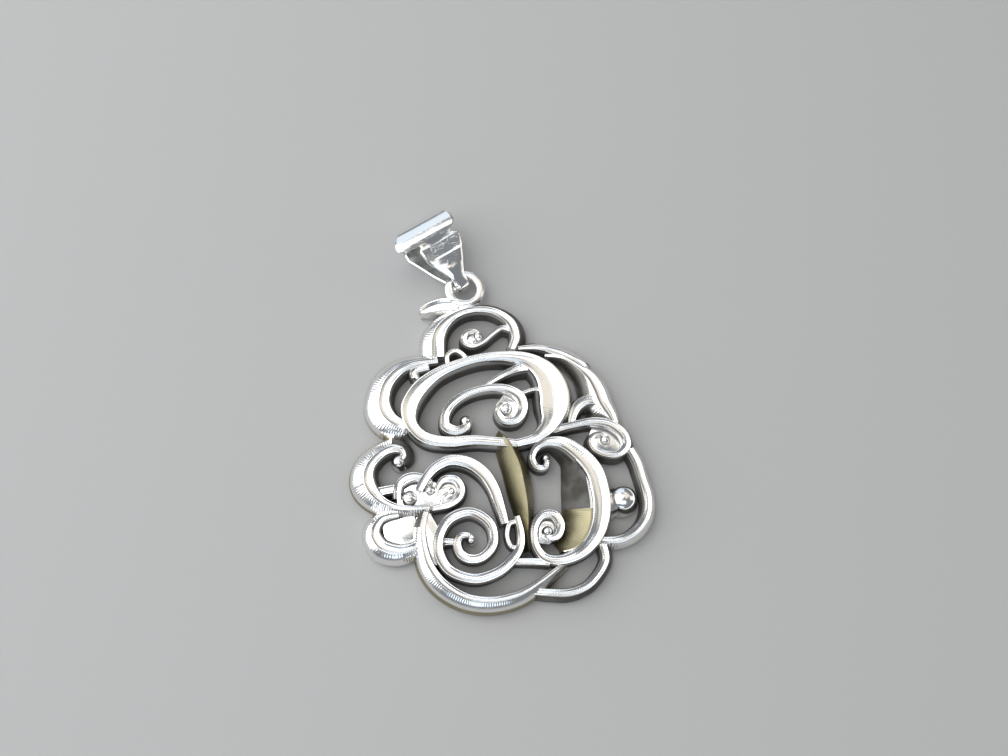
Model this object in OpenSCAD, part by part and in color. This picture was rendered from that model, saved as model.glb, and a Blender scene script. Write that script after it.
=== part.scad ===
// Filigree pendant lying on its back: cast scrollwork with a soldered ring, and a tapered bail in the ring.
// The back lies on Z = 0. +Y runs from the scrollwork to the bail. +X is to the right, seen from the front.

/* [Scrollwork] */
// Width of the scrollwork from side to side
body_w = 22; // [20:0.5:24]
// Height of the tallest crown above the back
body_h = 2.1; // [1.8:0.1:2.4]
// Depth of the channel that is cut along each crown
channel_d = 0.16; // [0.05:0.01:0.25]
// Height of the upright foot below each sloping flank, as a share of the crown's height
foot_share = 0.3; // [0.2:0.05:0.5]

/* [Ring] */
// Radius of the ring's middle line
ring_r = 1.25; // [1.2:0.05:1.35]
// Radius of the ring's wire
ring_wire_r = 0.37; // [0.3:0.01:0.4]
// Height of the ring's middle above the back
ring_z = 1.15; // [1.1:0.05:1.2]

/* [Bail] */
// Thickness of the bail's sheet
bail_t = 0.42; // [0.35:0.01:0.45]
// Width of the bail across its flared top
bail_top_w = 5.7; // [5:0.1:6]
// Depth of the chain way inside the bail's wide end
chain_way_d = 2.8; // [2.5:0.1:3]
// Distance between the centres of the bail's two bends
bail_reach = 3.8; // [3.6:0.05:4]
// Turn of the bail to the left of the pendant's own axis, in degrees
bail_turn = 20; // [15:1:24]

/* [Hidden] */

// The tables are drawn for a body 22 wide and 2.1 high, and these bring them to the size asked for.
drawn_w = 22;
drawn_h = 2.1;
plan = body_w / drawn_w;
rise = body_h / drawn_h;

// Columns of every scroll's table: place of the middle line, whole width, height of the crown.
X = 0;
Y = 1;
WIDTH = 2;
HEIGHT = 3;

// Sections between two rows of a table, for the main scrolls and for the small ones.
fine = 3;
coarse = 2;

// Everything but the ring runs this far below the back, and is then cut off flat.
sink = 0.2;

// Loop at the top, over the openings below the ring.
TOP_LOOP = [
    [-2.8, 9.3, 2.2, 1.5], [-2.5, 10.7, 2.2, 1.7], [-1.75, 11.7, 1.8, 1.7], [-0.5, 12.35, 1.2, 1.7],
    [1.0, 12.5, 1.0, 1.7], [2.6, 12.05, 1.1, 1.7], [3.75, 10.9, 1.35, 1.7], [3.95, 9.6, 1.4, 1.6],
    [3.4, 8.6, 1.2, 1.5]
];
TOP_CURL = [
    [3.6, 10.2, 0.7, 1.4], [2.9, 10.5, 0.65, 1.5], [2.1, 10.2, 0.65, 1.5], [1.2, 9.7, 0.65, 1.5],
    [0.3, 9.55, 0.7, 1.5], [-0.25, 10.1, 0.75, 1.5], [0.15, 10.7, 0.6, 1.5], [0.85, 10.65, 0.5, 1.4],
    [1.1, 10.2, 0.4, 1.3]
];
TOP_KNUCKLE = [
    [-1.85, 8.5, 0.5, 1.5], [-1.7, 9.2, 0.5, 1.5], [-1.05, 9.4, 0.5, 1.5], [-0.5, 8.9, 0.5, 1.5],
    [-0.45, 8.3, 0.5, 1.5]
];

// Scrolls of the outer frame, from the upper left round to the lower right.
UPPER_LEFT = [
    [-2.5, 9.1, 1.1, 1.5], [-4.2, 9.25, 1.4, 1.6], [-5.6, 9.0, 1.75, 1.7], [-6.8, 8.2, 2.05, 1.7],
    [-7.45, 7.1, 2.2, 1.7], [-7.65, 6.0, 2.4, 1.7], [-7.2, 4.9, 2.2, 1.7], [-6.1, 4.0, 1.7, 1.6]
];
LEFT_MIDDLE = [
    [-6.9, 1.75, 0.6, 1.3], [-6.3, 2.05, 0.8, 1.5], [-6.4, 2.8, 1.0, 1.6], [-7.25, 3.15, 1.4, 1.7],
    [-8.4, 2.8, 1.6, 1.7], [-9.35, 2.1, 1.9, 1.7], [-9.8, 1.1, 2.2, 1.7], [-9.65, 0.1, 2.1, 1.7],
    [-9.0, -0.9, 1.6, 1.6], [-8.0, -1.6, 1.2, 1.6], [-6.8, -2.0, 1.0, 1.6], [-5.4, -2.2, 0.8, 1.5]
];
LEFT_LOWER = [
    [-7.7, -1.95, 0.8, 1.5], [-9.0, -2.0, 1.2, 1.6], [-9.8, -2.9, 1.7, 1.6], [-9.45, -4.1, 1.9, 1.6],
    [-8.3, -4.75, 1.7, 1.6], [-7.2, -4.75, 1.3, 1.6], [-6.5, -4.5, 1.0, 1.5]
];
UPPER_LEFT_CURL = [
    [-3.3, 8.6, 1.0, 1.5], [-4.12, 8.57, 1.0, 1.5], [-4.6, 8.3, 0.8, 1.5], [-4.6, 7.95, 0.5, 1.4]
];
BOTTOM_ARC = [
    [-5.9, -2.22, 0.9, 1.6], [-6.45, -3.4, 1.05, 1.8], [-6.65, -4.8, 1.2, 1.8], [-6.5, -6.35, 1.45, 1.8],
    [-5.75, -7.85, 1.5, 1.8], [-4.3, -9.15, 1.4, 1.8], [-2.45, -9.8, 1.35, 1.8], [-0.5, -9.8, 1.25, 1.8],
    [1.2, -9.25, 1.05, 1.7], [2.5, -8.65, 0.85, 1.6], [3.3, -8.2, 0.65, 1.5]
];
BOTTOM_CURVE = [
    [0.2, -9.5, 0.8, 1.4], [1.6, -9.95, 0.95, 1.6], [3.1, -10.3, 1.0, 1.6], [4.5, -10.1, 1.0, 1.6],
    [5.6, -9.4, 1.0, 1.6], [6.35, -8.5, 1.05, 1.6], [6.45, -7.4, 1.1, 1.5]
];
RIGHT_LOWER = [
    [10.2, -1.0, 1.1, 1.6], [10.45, -2.1, 1.15, 1.7], [10.5, -3.4, 1.1, 1.7], [10.55, -4.6, 1.15, 1.7],
    [10.35, -5.6, 1.15, 1.7], [9.75, -6.55, 1.15, 1.7], [8.8, -7.2, 1.15, 1.7], [7.6, -7.45, 1.05, 1.7],
    [6.3, -7.2, 0.9, 1.6]
];
RIGHT_LOBE = [
    [7.0, -4.55, 2.7, 1.8], [8.0, -4.55, 2.6, 1.75], [8.8, -4.6, 2.1, 1.7], [9.35, -4.6, 1.3, 1.6],
    [9.65, -4.6, 0.5, 1.5]
];
RIGHT_UPPER = [
    [3.7, 1.5, 0.6, 1.6], [5.2, 1.7, 0.85, 1.8], [6.6, 1.75, 0.9, 1.8], [7.9, 1.7, 1.0, 1.8],
    [9.15, 1.2, 1.1, 1.8], [9.95, 0.25, 1.2, 1.8], [10.0, -0.7, 1.1, 1.7], [9.2, -1.25, 0.9, 1.6],
    [8.2, -1.05, 0.8, 1.6], [7.45, -0.45, 0.75, 1.6], [7.35, 0.25, 0.7, 1.6], [7.85, 0.7, 0.6, 1.6],
    [8.5, 0.55, 0.5, 1.5], [8.7, 0.1, 0.4, 1.4]
];
UPPER_RIGHT_RIM = [
    [3.6, 8.7, 0.6, 1.4], [5.2, 8.45, 0.9, 1.5], [6.6, 7.85, 1.15, 1.5], [7.75, 7.0, 1.2, 1.5],
    [8.5, 6.2, 0.9, 1.4], [8.75, 5.8, 0.4, 1.2]
];
UPPER_RIGHT = [
    [5.6, 7.5, 0.5, 1.5], [6.9, 6.95, 0.8, 1.7], [7.8, 6.0, 1.3, 1.7], [8.4, 5.0, 2.0, 1.7],
    [8.65, 4.0, 2.4, 1.7], [8.8, 2.9, 2.4, 1.7], [9.2, 1.8, 1.9, 1.6]
];
UPPER_RIGHT_CURL = [
    [8.9, 3.1, 1.1, 1.5], [7.95, 3.35, 1.2, 1.6], [7.15, 3.1, 1.2, 1.6], [6.6, 2.5, 1.0, 1.6],
    [6.25, 1.8, 0.8, 1.6]
];

// Long oval scroll across the upper half, and the two-ended scroll inside it.
OVAL = [
    [1.9, 1.2, 0.8, 1.9], [0.4, 1.65, 0.95, 1.95], [-1.2, 2.1, 1.0, 2.0], [-3.0, 2.35, 1.05, 2.0],
    [-4.6, 3.0, 1.15, 2.0], [-5.45, 4.2, 1.15, 2.1], [-5.35, 5.6, 1.6, 2.1], [-4.3, 6.85, 1.55, 2.1],
    [-2.75, 7.7, 1.15, 2.1], [-1.0, 8.1, 0.95, 2.1], [0.8, 8.2, 0.9, 2.1], [2.6, 7.95, 1.05, 2.1],
    [4.15, 7.3, 1.5, 2.1], [5.2, 6.1, 2.4, 2.1], [5.5, 4.6, 3.0, 2.1], [5.2, 3.15, 2.85, 2.1],
    [4.5, 2.0, 1.7, 2.0], [3.3, 1.3, 0.95, 2.0], [1.9, 1.2, 0.8, 1.9]
];
INNER_SCROLL = [
    [-1.4, 3.85, 0.45, 1.5], [-1.5, 3.3, 0.8, 1.6], [-2.3, 3.15, 1.0, 1.7], [-3.0, 3.65, 1.05, 1.7],
    [-2.85, 4.55, 0.95, 1.8], [-2.0, 5.35, 0.85, 1.8], [-0.7, 5.8, 0.8, 1.8], [0.8, 5.85, 0.8, 1.8],
    [2.1, 5.5, 0.9, 1.8], [2.95, 4.7, 1.0, 1.8], [2.95, 3.7, 1.0, 1.8], [2.25, 3.0, 0.9, 1.7],
    [1.35, 3.15, 0.8, 1.7], [1.05, 3.9, 0.7, 1.6], [1.55, 4.45, 0.55, 1.5], [2.0, 4.2, 0.4, 1.4]
];
INNER_BRANCH = [
    [4.5, 6.9, 1.3, 1.9], [3.3, 6.9, 1.0, 1.8], [2.1, 6.65, 0.75, 1.8], [0.9, 6.25, 0.5, 1.7],
    [0.1, 6.0, 0.35, 1.7]
];
INNER_LINK = [[2.9, 4.9, 0.45, 1.6], [3.9, 5.05, 0.45, 1.6], [5.0, 5.0, 0.5, 1.6]];

// Lower half: a leaf between two scrolls whose ends roll inwards.
LEAF = [
    [1.36, 1.13, 0.2, 1.5], [1.4, 0.3, 1.1, 1.8], [1.4, -0.8, 1.8, 2.0], [1.35, -2.0, 1.9, 2.0],
    [1.3, -3.2, 1.5, 2.0], [1.15, -4.4, 0.9, 1.8], [1.0, -5.5, 0.55, 1.6], [0.95, -6.6, 0.35, 1.4]
];
RIGHT_SCROLL = [
    [3.8, -0.45, 0.45, 1.7], [3.55, -1.0, 0.55, 1.8], [2.95, -0.85, 0.6, 1.8], [2.75, -0.15, 0.65, 1.9],
    [3.2, 0.5, 0.75, 2.0], [4.2, 0.75, 0.95, 2.0], [5.3, 0.35, 1.35, 2.1], [6.3, -0.75, 1.7, 2.1],
    [6.95, -2.1, 1.9, 2.1], [7.0, -3.6, 1.95, 2.1], [6.75, -5.0, 1.85, 2.1], [6.15, -6.3, 1.7, 2.1],
    [5.2, -7.25, 1.4, 2.0], [4.1, -7.75, 1.1, 2.0], [2.9, -7.8, 0.95, 1.9], [1.9, -7.35, 0.85, 1.9],
    [1.5, -6.35, 0.75, 1.8], [1.7, -5.2, 0.75, 1.8], [2.4, -4.45, 0.85, 1.8], [3.3, -4.55, 0.9, 1.8],
    [3.6, -5.35, 0.9, 1.8], [3.25, -6.05, 0.75, 1.7], [2.6, -6.1, 0.55, 1.6], [2.4, -5.6, 0.45, 1.5]
];
LEFT_ARCH = [
    [-0.3, -4.4, 0.8, 1.7], [-0.4, -3.0, 0.9, 1.8], [-0.55, -1.7, 0.95, 1.8], [-1.0, -0.5, 1.0, 1.8],
    [-1.9, 0.5, 1.0, 1.8], [-3.1, 1.0, 0.95, 1.8], [-4.3, 0.8, 0.9, 1.8], [-5.2, 0.2, 0.9, 1.7],
    [-5.9, -0.6, 0.8, 1.6]
];
FOOT_BAND = [[-0.2, -7.2, 0.7, 1.6], [0.9, -7.45, 0.75, 1.7], [2.2, -7.8, 0.8, 1.8]];
FOOT_LOOP = [
    [0.5, -6.3, 0.45, 1.6], [-0.2, -6.1, 0.45, 1.6], [-0.35, -5.3, 0.45, 1.6], [0.0, -4.5, 0.5, 1.6],
    [0.6, -4.4, 0.5, 1.6]
];

// Small curls between the left frame and the arch.
CURL_HOOK = [
    [-4.75, -1.2, 0.35, 1.3], [-4.5, -0.6, 0.55, 1.4], [-3.9, -0.2, 0.75, 1.5], [-3.15, -0.4, 0.85, 1.5],
    [-2.85, -1.1, 0.85, 1.5], [-3.2, -1.8, 0.8, 1.5], [-4.1, -2.15, 0.7, 1.4], [-5.2, -2.15, 0.6, 1.4]
];
CURL_TONGUE = [[-4.6, -1.95, 0.45, 1.2], [-4.3, -1.4, 0.45, 1.3], [-3.7, -1.15, 0.4, 1.2]];
CURL_ARCH = [
    [-7.6, -0.9, 0.9, 1.4], [-7.3, 0.05, 1.0, 1.5], [-6.5, 0.45, 1.1, 1.6], [-5.65, 0.3, 1.0, 1.6],
    [-5.0, -0.3, 0.9, 1.5]
];
CURL_POST = [[-7.2, -0.1, 1.0, 1.4], [-8.8, -0.05, 1.0, 1.3]];

// Leaf that springs from the foot of the ring.
SPUR = [
    [-0.1, 13.0, 1.1, 1.6], [-1.1, 13.4, 1.15, 1.5], [-2.2, 13.4, 0.95, 1.4], [-3.05, 13.3, 0.4, 1.3]
];

// Lower left volute: angle about its centre, radius, width and height of each row.
VOLUTE_AT = [-3.0, -5.25];
ANGLE = 0;
RADIUS = 1;
VOLUTE = [
    [18, 3.85, 0.55, 1.6], [-1, 3.65, 0.7, 1.8], [-18, 3.5, 0.8, 1.9], [-38, 3.1, 0.9, 1.9],
    [-65, 2.72, 0.95, 1.9], [-100, 2.5, 0.95, 1.9], [-145, 2.45, 0.95, 1.9], [-190, 2.4, 0.95, 1.9],
    [-235, 2.35, 0.95, 1.9], [-280, 2.25, 0.95, 1.9], [-325, 1.95, 0.95, 1.8], [-370, 1.6, 0.9, 1.7],
    [-415, 1.27, 0.85, 1.6], [-460, 1.1, 0.85, 1.5], [-505, 1.05, 0.85, 1.4], [-550, 1.02, 0.8, 1.4],
    [-590, 0.95, 0.65, 1.3], [-625, 0.65, 0.5, 1.3], [-665, 0.35, 0.4, 1.2]
];
VOLUTE_LINK = [[-5.3, -4.75, 0.8, 1.2], [-4.7, -4.7, 0.8, 1.3], [-4.0, -4.9, 0.7, 1.3]];

// Broad slope inside the right scroll, from its crown down to the opening.
SLOPE = [
    [4.5, 0.45, 0.6, 1.6], [5.45, -0.7, 1.3, 1.8], [5.6, -2.0, 1.9, 1.9], [5.45, -3.3, 2.2, 1.9],
    [5.25, -4.5, 2.3, 1.9], [4.85, -5.6, 2.2, 1.9], [4.1, -6.5, 1.8, 1.8], [3.1, -7.0, 1.0, 1.7]
];

// Low floors that close some of the openings: height of the floor, and its outline.
FLOOR_TOP = 0;
OUTLINE = 1;
FLOORS = [
    [1.05, [[-9.0, -2.3], [-6.6, -2.3], [-6.5, -4.4], [-7.6, -4.5], [-9.0, -3.8]]],
    [1.15, [[-6.5, -2.5], [-5.5, -2.3], [-5.05, -3.7], [-5.1, -5.3], [-5.75, -6.2], [-6.5, -5.4]]],
    [0.95, [
        [-7.7, -1.3], [-7.3, 0.1], [-6.3, 0.5], [-5.3, 0.2], [-4.4, -0.4], [-3.3, -0.4], [-2.9, -1.3], [-3.4, -2.1],
        [-5.4, -2.3], [-6.9, -1.9]
    ]],
    [1.1, [[1.5, -5.2], [2.2, -4.3], [3.3, -4.4], [3.8, -5.3], [3.4, -6.2], [2.5, -6.5], [1.6, -6.2]]],
    [1.05, [[7.2, 0.4], [7.9, 1.4], [9.0, 1.1], [9.8, 0.1], [9.6, -0.9], [8.3, -1.1], [7.4, -0.4]]],
    [1.15, [[1.0, 3.6], [2.1, 2.9], [3.1, 3.8], [2.8, 4.8], [1.8, 5.2], [1.1, 4.6]]],
    [1.05, [[-0.4, 10.0], [0.2, 10.8], [1.0, 10.7], [1.3, 9.9], [0.4, 9.5]]]
];

// Every ribbon: its table, the shares of its width taken by the left and the right flank, the depth of its
// channel, and its sections from row to row.
TABLE = 0;
LEFT = 1;
RIGHT = 2;
DIP = 3;
STEPS = 4;
function turned(rows, centre) = [
    for (r = rows) [
        centre[X] + r[RADIUS] * cos(r[ANGLE]), centre[Y] + r[RADIUS] * sin(r[ANGLE]), r[WIDTH], r[HEIGHT]
    ]
];
small = [
    for (t = [
        TOP_CURL, TOP_KNUCKLE, INNER_BRANCH, INNER_LINK, FOOT_BAND, FOOT_LOOP, CURL_HOOK, CURL_TONGUE,
        CURL_ARCH, CURL_POST, SPUR, UPPER_RIGHT_CURL, UPPER_LEFT_CURL, VOLUTE_LINK
    ])
        [t, 0.2, 0.2, channel_d, coarse]
];
RIBBONS = concat(small, [
    [TOP_LOOP, 0.42, 0.12, channel_d, fine],
    [UPPER_LEFT, 0.12, 0.5, channel_d, fine],
    [LEFT_MIDDLE, 0.12, 0.52, channel_d, fine],
    [LEFT_LOWER, 0.2, 0.42, channel_d, fine],
    [BOTTOM_ARC, 0.08, 0.58, channel_d, fine],
    [BOTTOM_CURVE, 0.12, 0.4, channel_d, fine],
    [RIGHT_LOWER, 0.35, 0.15, channel_d, fine],
    [RIGHT_LOBE, 0.1, 0.1, 2 * channel_d, coarse],
    [SLOPE, 0.04, 0.86, 0, coarse],
    [RIGHT_UPPER, 0.3, 0.12, channel_d, fine],
    [UPPER_RIGHT_RIM, 0.4, 0.15, channel_d, fine],
    [UPPER_RIGHT, 0.25, 0.35, channel_d, fine],
    [OVAL, 0.12, 0.15, channel_d, fine],
    [INNER_SCROLL, 0.15, 0.15, channel_d, fine],
    [LEAF, 0.34, 0.64, 0, coarse],
    [RIGHT_SCROLL, 0.15, 0.18, channel_d, fine],
    [LEFT_ARCH, 0.15, 0.15, channel_d, fine],
    [turned(VOLUTE, VOLUTE_AT), 0.15, 0.15, channel_d, fine]
]);

// Round ends: place, radius of the foot, radius of the crown, height.
END_R = 2;
CROWN_R = 3;
END_H = 4;
ROUND_ENDS = [
    [1.05, 10.15, 0.34, 0.2, 1.4], [-4.35, 8.0, 0.3, 0.18, 1.4], [-1.45, 3.8, 0.48, 0.3, 1.6],
    [2.05, 4.12, 0.34, 0.2, 1.5], [8.65, 0.0, 0.32, 0.2, 1.5], [-2.95, -5.0, 0.3, 0.18, 1.2],
    [2.5, -5.5, 0.36, 0.22, 1.6], [3.75, -0.35, 0.36, 0.22, 1.8], [-6.95, 1.85, 0.6, 0.38, 1.4],
    [-6.7, -1.0, 0.75, 0.5, 1.4], [-3.6, -1.15, 0.28, 0.18, 1.25], [1.2, 2.2, 0.5, 0.3, 1.9],
    [-5.15, -0.75, 0.52, 0.34, 1.35]
];

// Ring, and the seat of solder between it and the top loop: its two ends, radius and height.
ring_at = [0.75, 14.35] * plan;
seat_ends = [[-0.3, 12.75], [1.8, 12.65]];
seat_r = 0.42;
seat_h = 1.3;

// Bail: how far the middle of its narrow bend stands inside the ring's middle line, how much less than the
// ring's height the bend's outside radius is, and how far the front bows out between the bends.
tip_in_ring = 0.2;
tip_drop = 0.1;
front_bow = 0.13;

// Rows round the bail. Places 0 to 1 go round the narrow bend from front to back, 1 to 2 up the back leaf,
// 2 to 3 round the wide bend from back to front, 3 to 4 down the front leaf. The spreads to the left and to
// the right are shares of the top width, and differ because the strip wraps a little askew. Last come the
// steps to the next row.
PLACE = 0;
LEFT_HALF = 1;
RIGHT_HALF = 2;
STEPS_ON = 3;
BAIL_ROWS = [
    [0, 0.1, 0.1, 8], [1, 0.11, 0.1, 1], [1.4, 0.25, 0.1, 1], [1.8, 0.36, 0.13, 1], [2, 0.42, 0.2, 5],
    [2.25, 0.44, 0.28, 6], [2.5, 0.4, 0.33, 6], [2.73, 0.46, 0.35, 2], [2.82, 0.54, 0.36, 2],
    [2.91, 0.58, 0.35, 1], [2.95, 0.57, 0.32, 1], [2.99, 0.42, 0.25, 1], [3.03, 0.27, 0.22, 1],
    [3.07, 0.27, 0.25, 1], [3.13, 0.31, 0.33, 1], [3.42, 0.29, 0.26, 1], [3.65, 0.2, 0.19, 1],
    [3.9, 0.11, 0.11, 1], [4, 0.1, 0.1, 0]
];
bail_tip_r = ring_z - tip_drop;
bail_wide_r = chain_way_d / 2 + bail_t;
bail_lean = asin((bail_wide_r - bail_tip_r) / bail_reach);
bail_pitch = asin((bail_wide_r - ring_z) / bail_reach);
bail_at = ring_at + (ring_r - tip_in_ring) * [-sin(bail_turn), cos(bail_turn)];

function mix(a, b, t) = a + (b - a) * t;

// Rows of a table, with the ends repeated so that the smooth curve reaches them.
function row(table, i) = table[max(0, min(len(table) - 1, i))];

// Values at share t of the smooth curve between rows i and i + 1.
function smooth_row(table, i, t) =
    let (a = row(table, i - 1), b = row(table, i), c = row(table, i + 1), d = row(table, i + 2))
    0.5 * (2 * b + (c - a) * t + (2 * a - 5 * b + 4 * c - d) * t * t + (3 * b - a - 3 * c + d) * t * t * t);

// Every section along a table, steps of them from row to row, with the table's columns.
function stations(table, steps) = [
    for (i = [0 : len(table) - 2], k = [0 : steps - (i == len(table) - 2 ? 0 : 1)])
        smooth_row(table, i, k / steps)
];

function sized(table) = [for (r = table) [r[X] * plan, r[Y] * plan, r[WIDTH] * plan, r[HEIGHT] * rise]];

// Unit vector to the left of the way at station i.
function left_of(path, i) =
    let (a = path[max(0, i - 1)], b = path[min(len(path) - 1, i + 1)], v = [b[X] - a[X], b[Y] - a[Y]])
    [-v[1], v[0]] / norm(v);

// Section of a ribbon as [across, up]: feet, sloping flanks, and a crown with a channel.
function section(width, height, left, right, dip) =
    let (crown_l = width * (0.5 - left), crown_r = -width * (0.5 - right), foot = height * foot_share)
    [
        [-width / 2, -sink], [-width / 2, foot], [crown_r, height], [(crown_l + crown_r) / 2, height - dip],
        [crown_l, height], [width / 2, foot], [width / 2, -sink]
    ];

// The two feet of every section of every ribbon, in plan.
feet = [
    for (b = RIBBONS)
        let (path = stations(sized(b[TABLE]), b[STEPS]))
        for (i = [0 : len(path) - 1], side = [-0.5, 0.5])
            [path[i][X], path[i][Y]] + left_of(path, i) * path[i][WIDTH] * side
];

// Side view of the bail at a place round it, as [along, up], for the radii of its two bends.
function loop_side(place, tip_r, wide_r) =
    let (
        tangent = [-sin(bail_lean), cos(bail_lean)],
        back = [tangent[0], -tangent[1]],
        far = [bail_reach, 0],
        tip_turn = 90 + bail_lean + place * (180 - 2 * bail_lean),
        wide_turn = (place - 2.5) * (180 + 2 * bail_lean)
    )
    place < 1 ? tip_r * [cos(tip_turn), sin(tip_turn)]
        : place < 2 ? mix(tip_r * back, far + wide_r * back, place - 1)
        : place < 3 ? far + wide_r * [cos(wide_turn), sin(wide_turn)]
        : mix(far + wide_r * tangent, tip_r * tangent, place - 3) + [0, front_bow * sin(180 * (place - 3))];

// Corners of every section round the bail: outside left and right, inside right and left.
bail_points = [
    for (i = [0 : len(BAIL_ROWS) - 2], k = [0 : BAIL_ROWS[i][STEPS_ON] - 1])
        let (
            r = mix(BAIL_ROWS[i], BAIL_ROWS[i + 1], k / BAIL_ROWS[i][STEPS_ON]),
            left = -r[LEFT_HALF] * bail_top_w,
            right = r[RIGHT_HALF] * bail_top_w,
            outside = loop_side(r[PLACE], bail_tip_r, bail_wide_r),
            inside = loop_side(r[PLACE], bail_tip_r - bail_t, bail_wide_r - bail_t)
        )
        each [
            [left, outside[0], outside[1]], [right, outside[0], outside[1]],
            [right, inside[0], inside[1]], [left, inside[0], inside[1]]
        ]
];
bail_top = max([
    for (p = bail_points)
        let (forward = p[1] * cos(bail_pitch) - p[2] * sin(bail_pitch))
        bail_at[Y] + p[0] * sin(bail_turn) + forward * cos(bail_turn)
]);

// Middle of the whole pendant's plan, which is moved to the origin.
middle = [
    (min([for (p = feet) p[X]]) + max([for (p = feet) p[X]])) / 2,
    (min([for (p = feet) p[Y]]) + bail_top) / 2
];

module ribbon(b) {
    path = stations(sized(b[TABLE]), b[STEPS]);
    corners = 7;
    last = len(path) - 1;
    points = [
        for (i = [0 : last])
            let (n = left_of(path, i))
            for (c = section(path[i][WIDTH], path[i][HEIGHT], b[LEFT], b[RIGHT], b[DIP]))
                [path[i][X] + n[0] * c[0], path[i][Y] + n[1] * c[0], c[1]]
    ];
    sides = [
        for (i = [0 : last - 1], k = [0 : corners - 1])
            let (here = i * corners + k, next = i * corners + (k + 1) % corners)
            each [[here, next + corners, here + corners], [here, next, next + corners]]
    ];
    start_cap = [for (k = [corners - 1 : -1 : 0]) k];
    end_cap = [for (k = [0 : corners - 1]) last * corners + k];
    polyhedron(points, concat(sides, [start_cap, end_cap]));
}

module round_end(e) {
    translate([e[X] * plan, e[Y] * plan, -sink])
        hull() {
            cylinder(h = sink + e[END_H] * foot_share * rise, r = e[END_R] * plan, $fn = 14);
            cylinder(h = sink + e[END_H] * rise, r = e[CROWN_R] * plan, $fn = 14);
        }
}

module low_floor(f) {
    translate([0, 0, -sink])
        linear_extrude(height = sink + f[FLOOR_TOP] * rise)
            polygon(f[OUTLINE] * plan);
}

module soldered_ring() {
    translate([ring_at[X], ring_at[Y], ring_z])
        rotate_extrude($fn = 30)
            translate([ring_r, 0])
                circle(r = ring_wire_r, $fn = 12);
    hull()
        for (p = seat_ends)
            translate([p[X] * plan, p[Y] * plan, -sink])
                cylinder(h = sink + seat_h, r = seat_r, $fn = 16);
}

module below_back() {
    translate([-2 * body_w, -2 * body_w, -2 * sink])
        cube([4 * body_w, 4 * body_w, 2 * sink]);
}

module scrollwork() {
    color("silver")
        translate([-middle[X], -middle[Y], 0])
            difference() {
                union() {
                    for (b = RIBBONS)
                        ribbon(b);
                    for (e = ROUND_ENDS)
                        round_end(e);
                    for (f = FLOORS)
                        low_floor(f);
                    soldered_ring();
                }
                below_back();
            }
}

module bail() {
    corners = 4;
    count = len(bail_points);
    sides = [
        for (i = [0 : corners : count - 1], k = [0 : corners - 1])
            let (here = i + k, next = i + (k + 1) % corners)
            each [
                [here, next, (next + corners) % count],
                [here, (next + corners) % count, (here + corners) % count]
            ]
    ];
    color("silver")
        translate([bail_at[X] - middle[X], bail_at[Y] - middle[Y], ring_z])
            rotate(bail_turn)
                rotate([bail_pitch, 0, 0])
                    polyhedron(bail_points, sides);
}

scrollwork();
bail();
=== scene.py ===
"""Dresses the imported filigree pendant: a cast silver scrollwork with its soldered ring, and the bail in it.

Everything is modelled in millimetres, in the plan of the scrollwork's own tables, and is then brought to metres
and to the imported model's frame. +Y runs to the bail and +X to the right, seen from the front. The back is on
Z = 0.
"""
import logging
import math
from bisect import bisect_left
from dataclasses import dataclass
from enum import Enum
from typing import Callable, Iterable, NamedTuple, Sequence

import bmesh
import bpy
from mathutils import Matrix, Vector


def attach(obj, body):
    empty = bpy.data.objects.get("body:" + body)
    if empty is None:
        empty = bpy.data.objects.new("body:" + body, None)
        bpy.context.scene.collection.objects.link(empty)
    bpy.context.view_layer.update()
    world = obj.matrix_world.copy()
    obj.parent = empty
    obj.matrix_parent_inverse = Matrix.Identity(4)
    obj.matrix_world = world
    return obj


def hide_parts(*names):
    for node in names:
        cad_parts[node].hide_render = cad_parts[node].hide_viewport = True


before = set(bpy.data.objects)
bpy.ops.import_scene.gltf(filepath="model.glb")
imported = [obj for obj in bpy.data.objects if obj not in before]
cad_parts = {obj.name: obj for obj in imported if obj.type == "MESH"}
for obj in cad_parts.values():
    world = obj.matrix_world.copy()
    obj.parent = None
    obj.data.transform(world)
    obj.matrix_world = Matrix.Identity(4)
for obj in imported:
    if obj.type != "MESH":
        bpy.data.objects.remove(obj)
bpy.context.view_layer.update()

log = logging.getLogger("pendant")

METRES_PER_MM = 0.001
# Middle of the whole pendant in the plan of the tables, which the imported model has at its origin.
MIDDLE = Vector((0.1039, 5.1946, 0.0))
WAY_MAP = "way"
# Middle of the ring with its height above the back, and the radius of its middle line. The bail hangs in it.
RING_AT = (0.75, 14.35, 1.15)
RING_RADIUS = 1.25
# Vertices closer than this are doubles.
DOUBLES = 0.0005


class Row(NamedTuple):
    """One row of a scroll's table.

    Args:
        x: Place of the middle line, to the right.
        y: Place of the middle line, towards the bail.
        width: Whole width at the foot.
        height: Height of the crown above the back.
    """

    x: float
    y: float
    width: float
    height: float


class Cuts(Enum):
    """Which flank of a scroll carries the cutter's fine transverse lines."""

    NONE = 0
    LEFT = 1
    RIGHT = -1


# Hand tools


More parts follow.
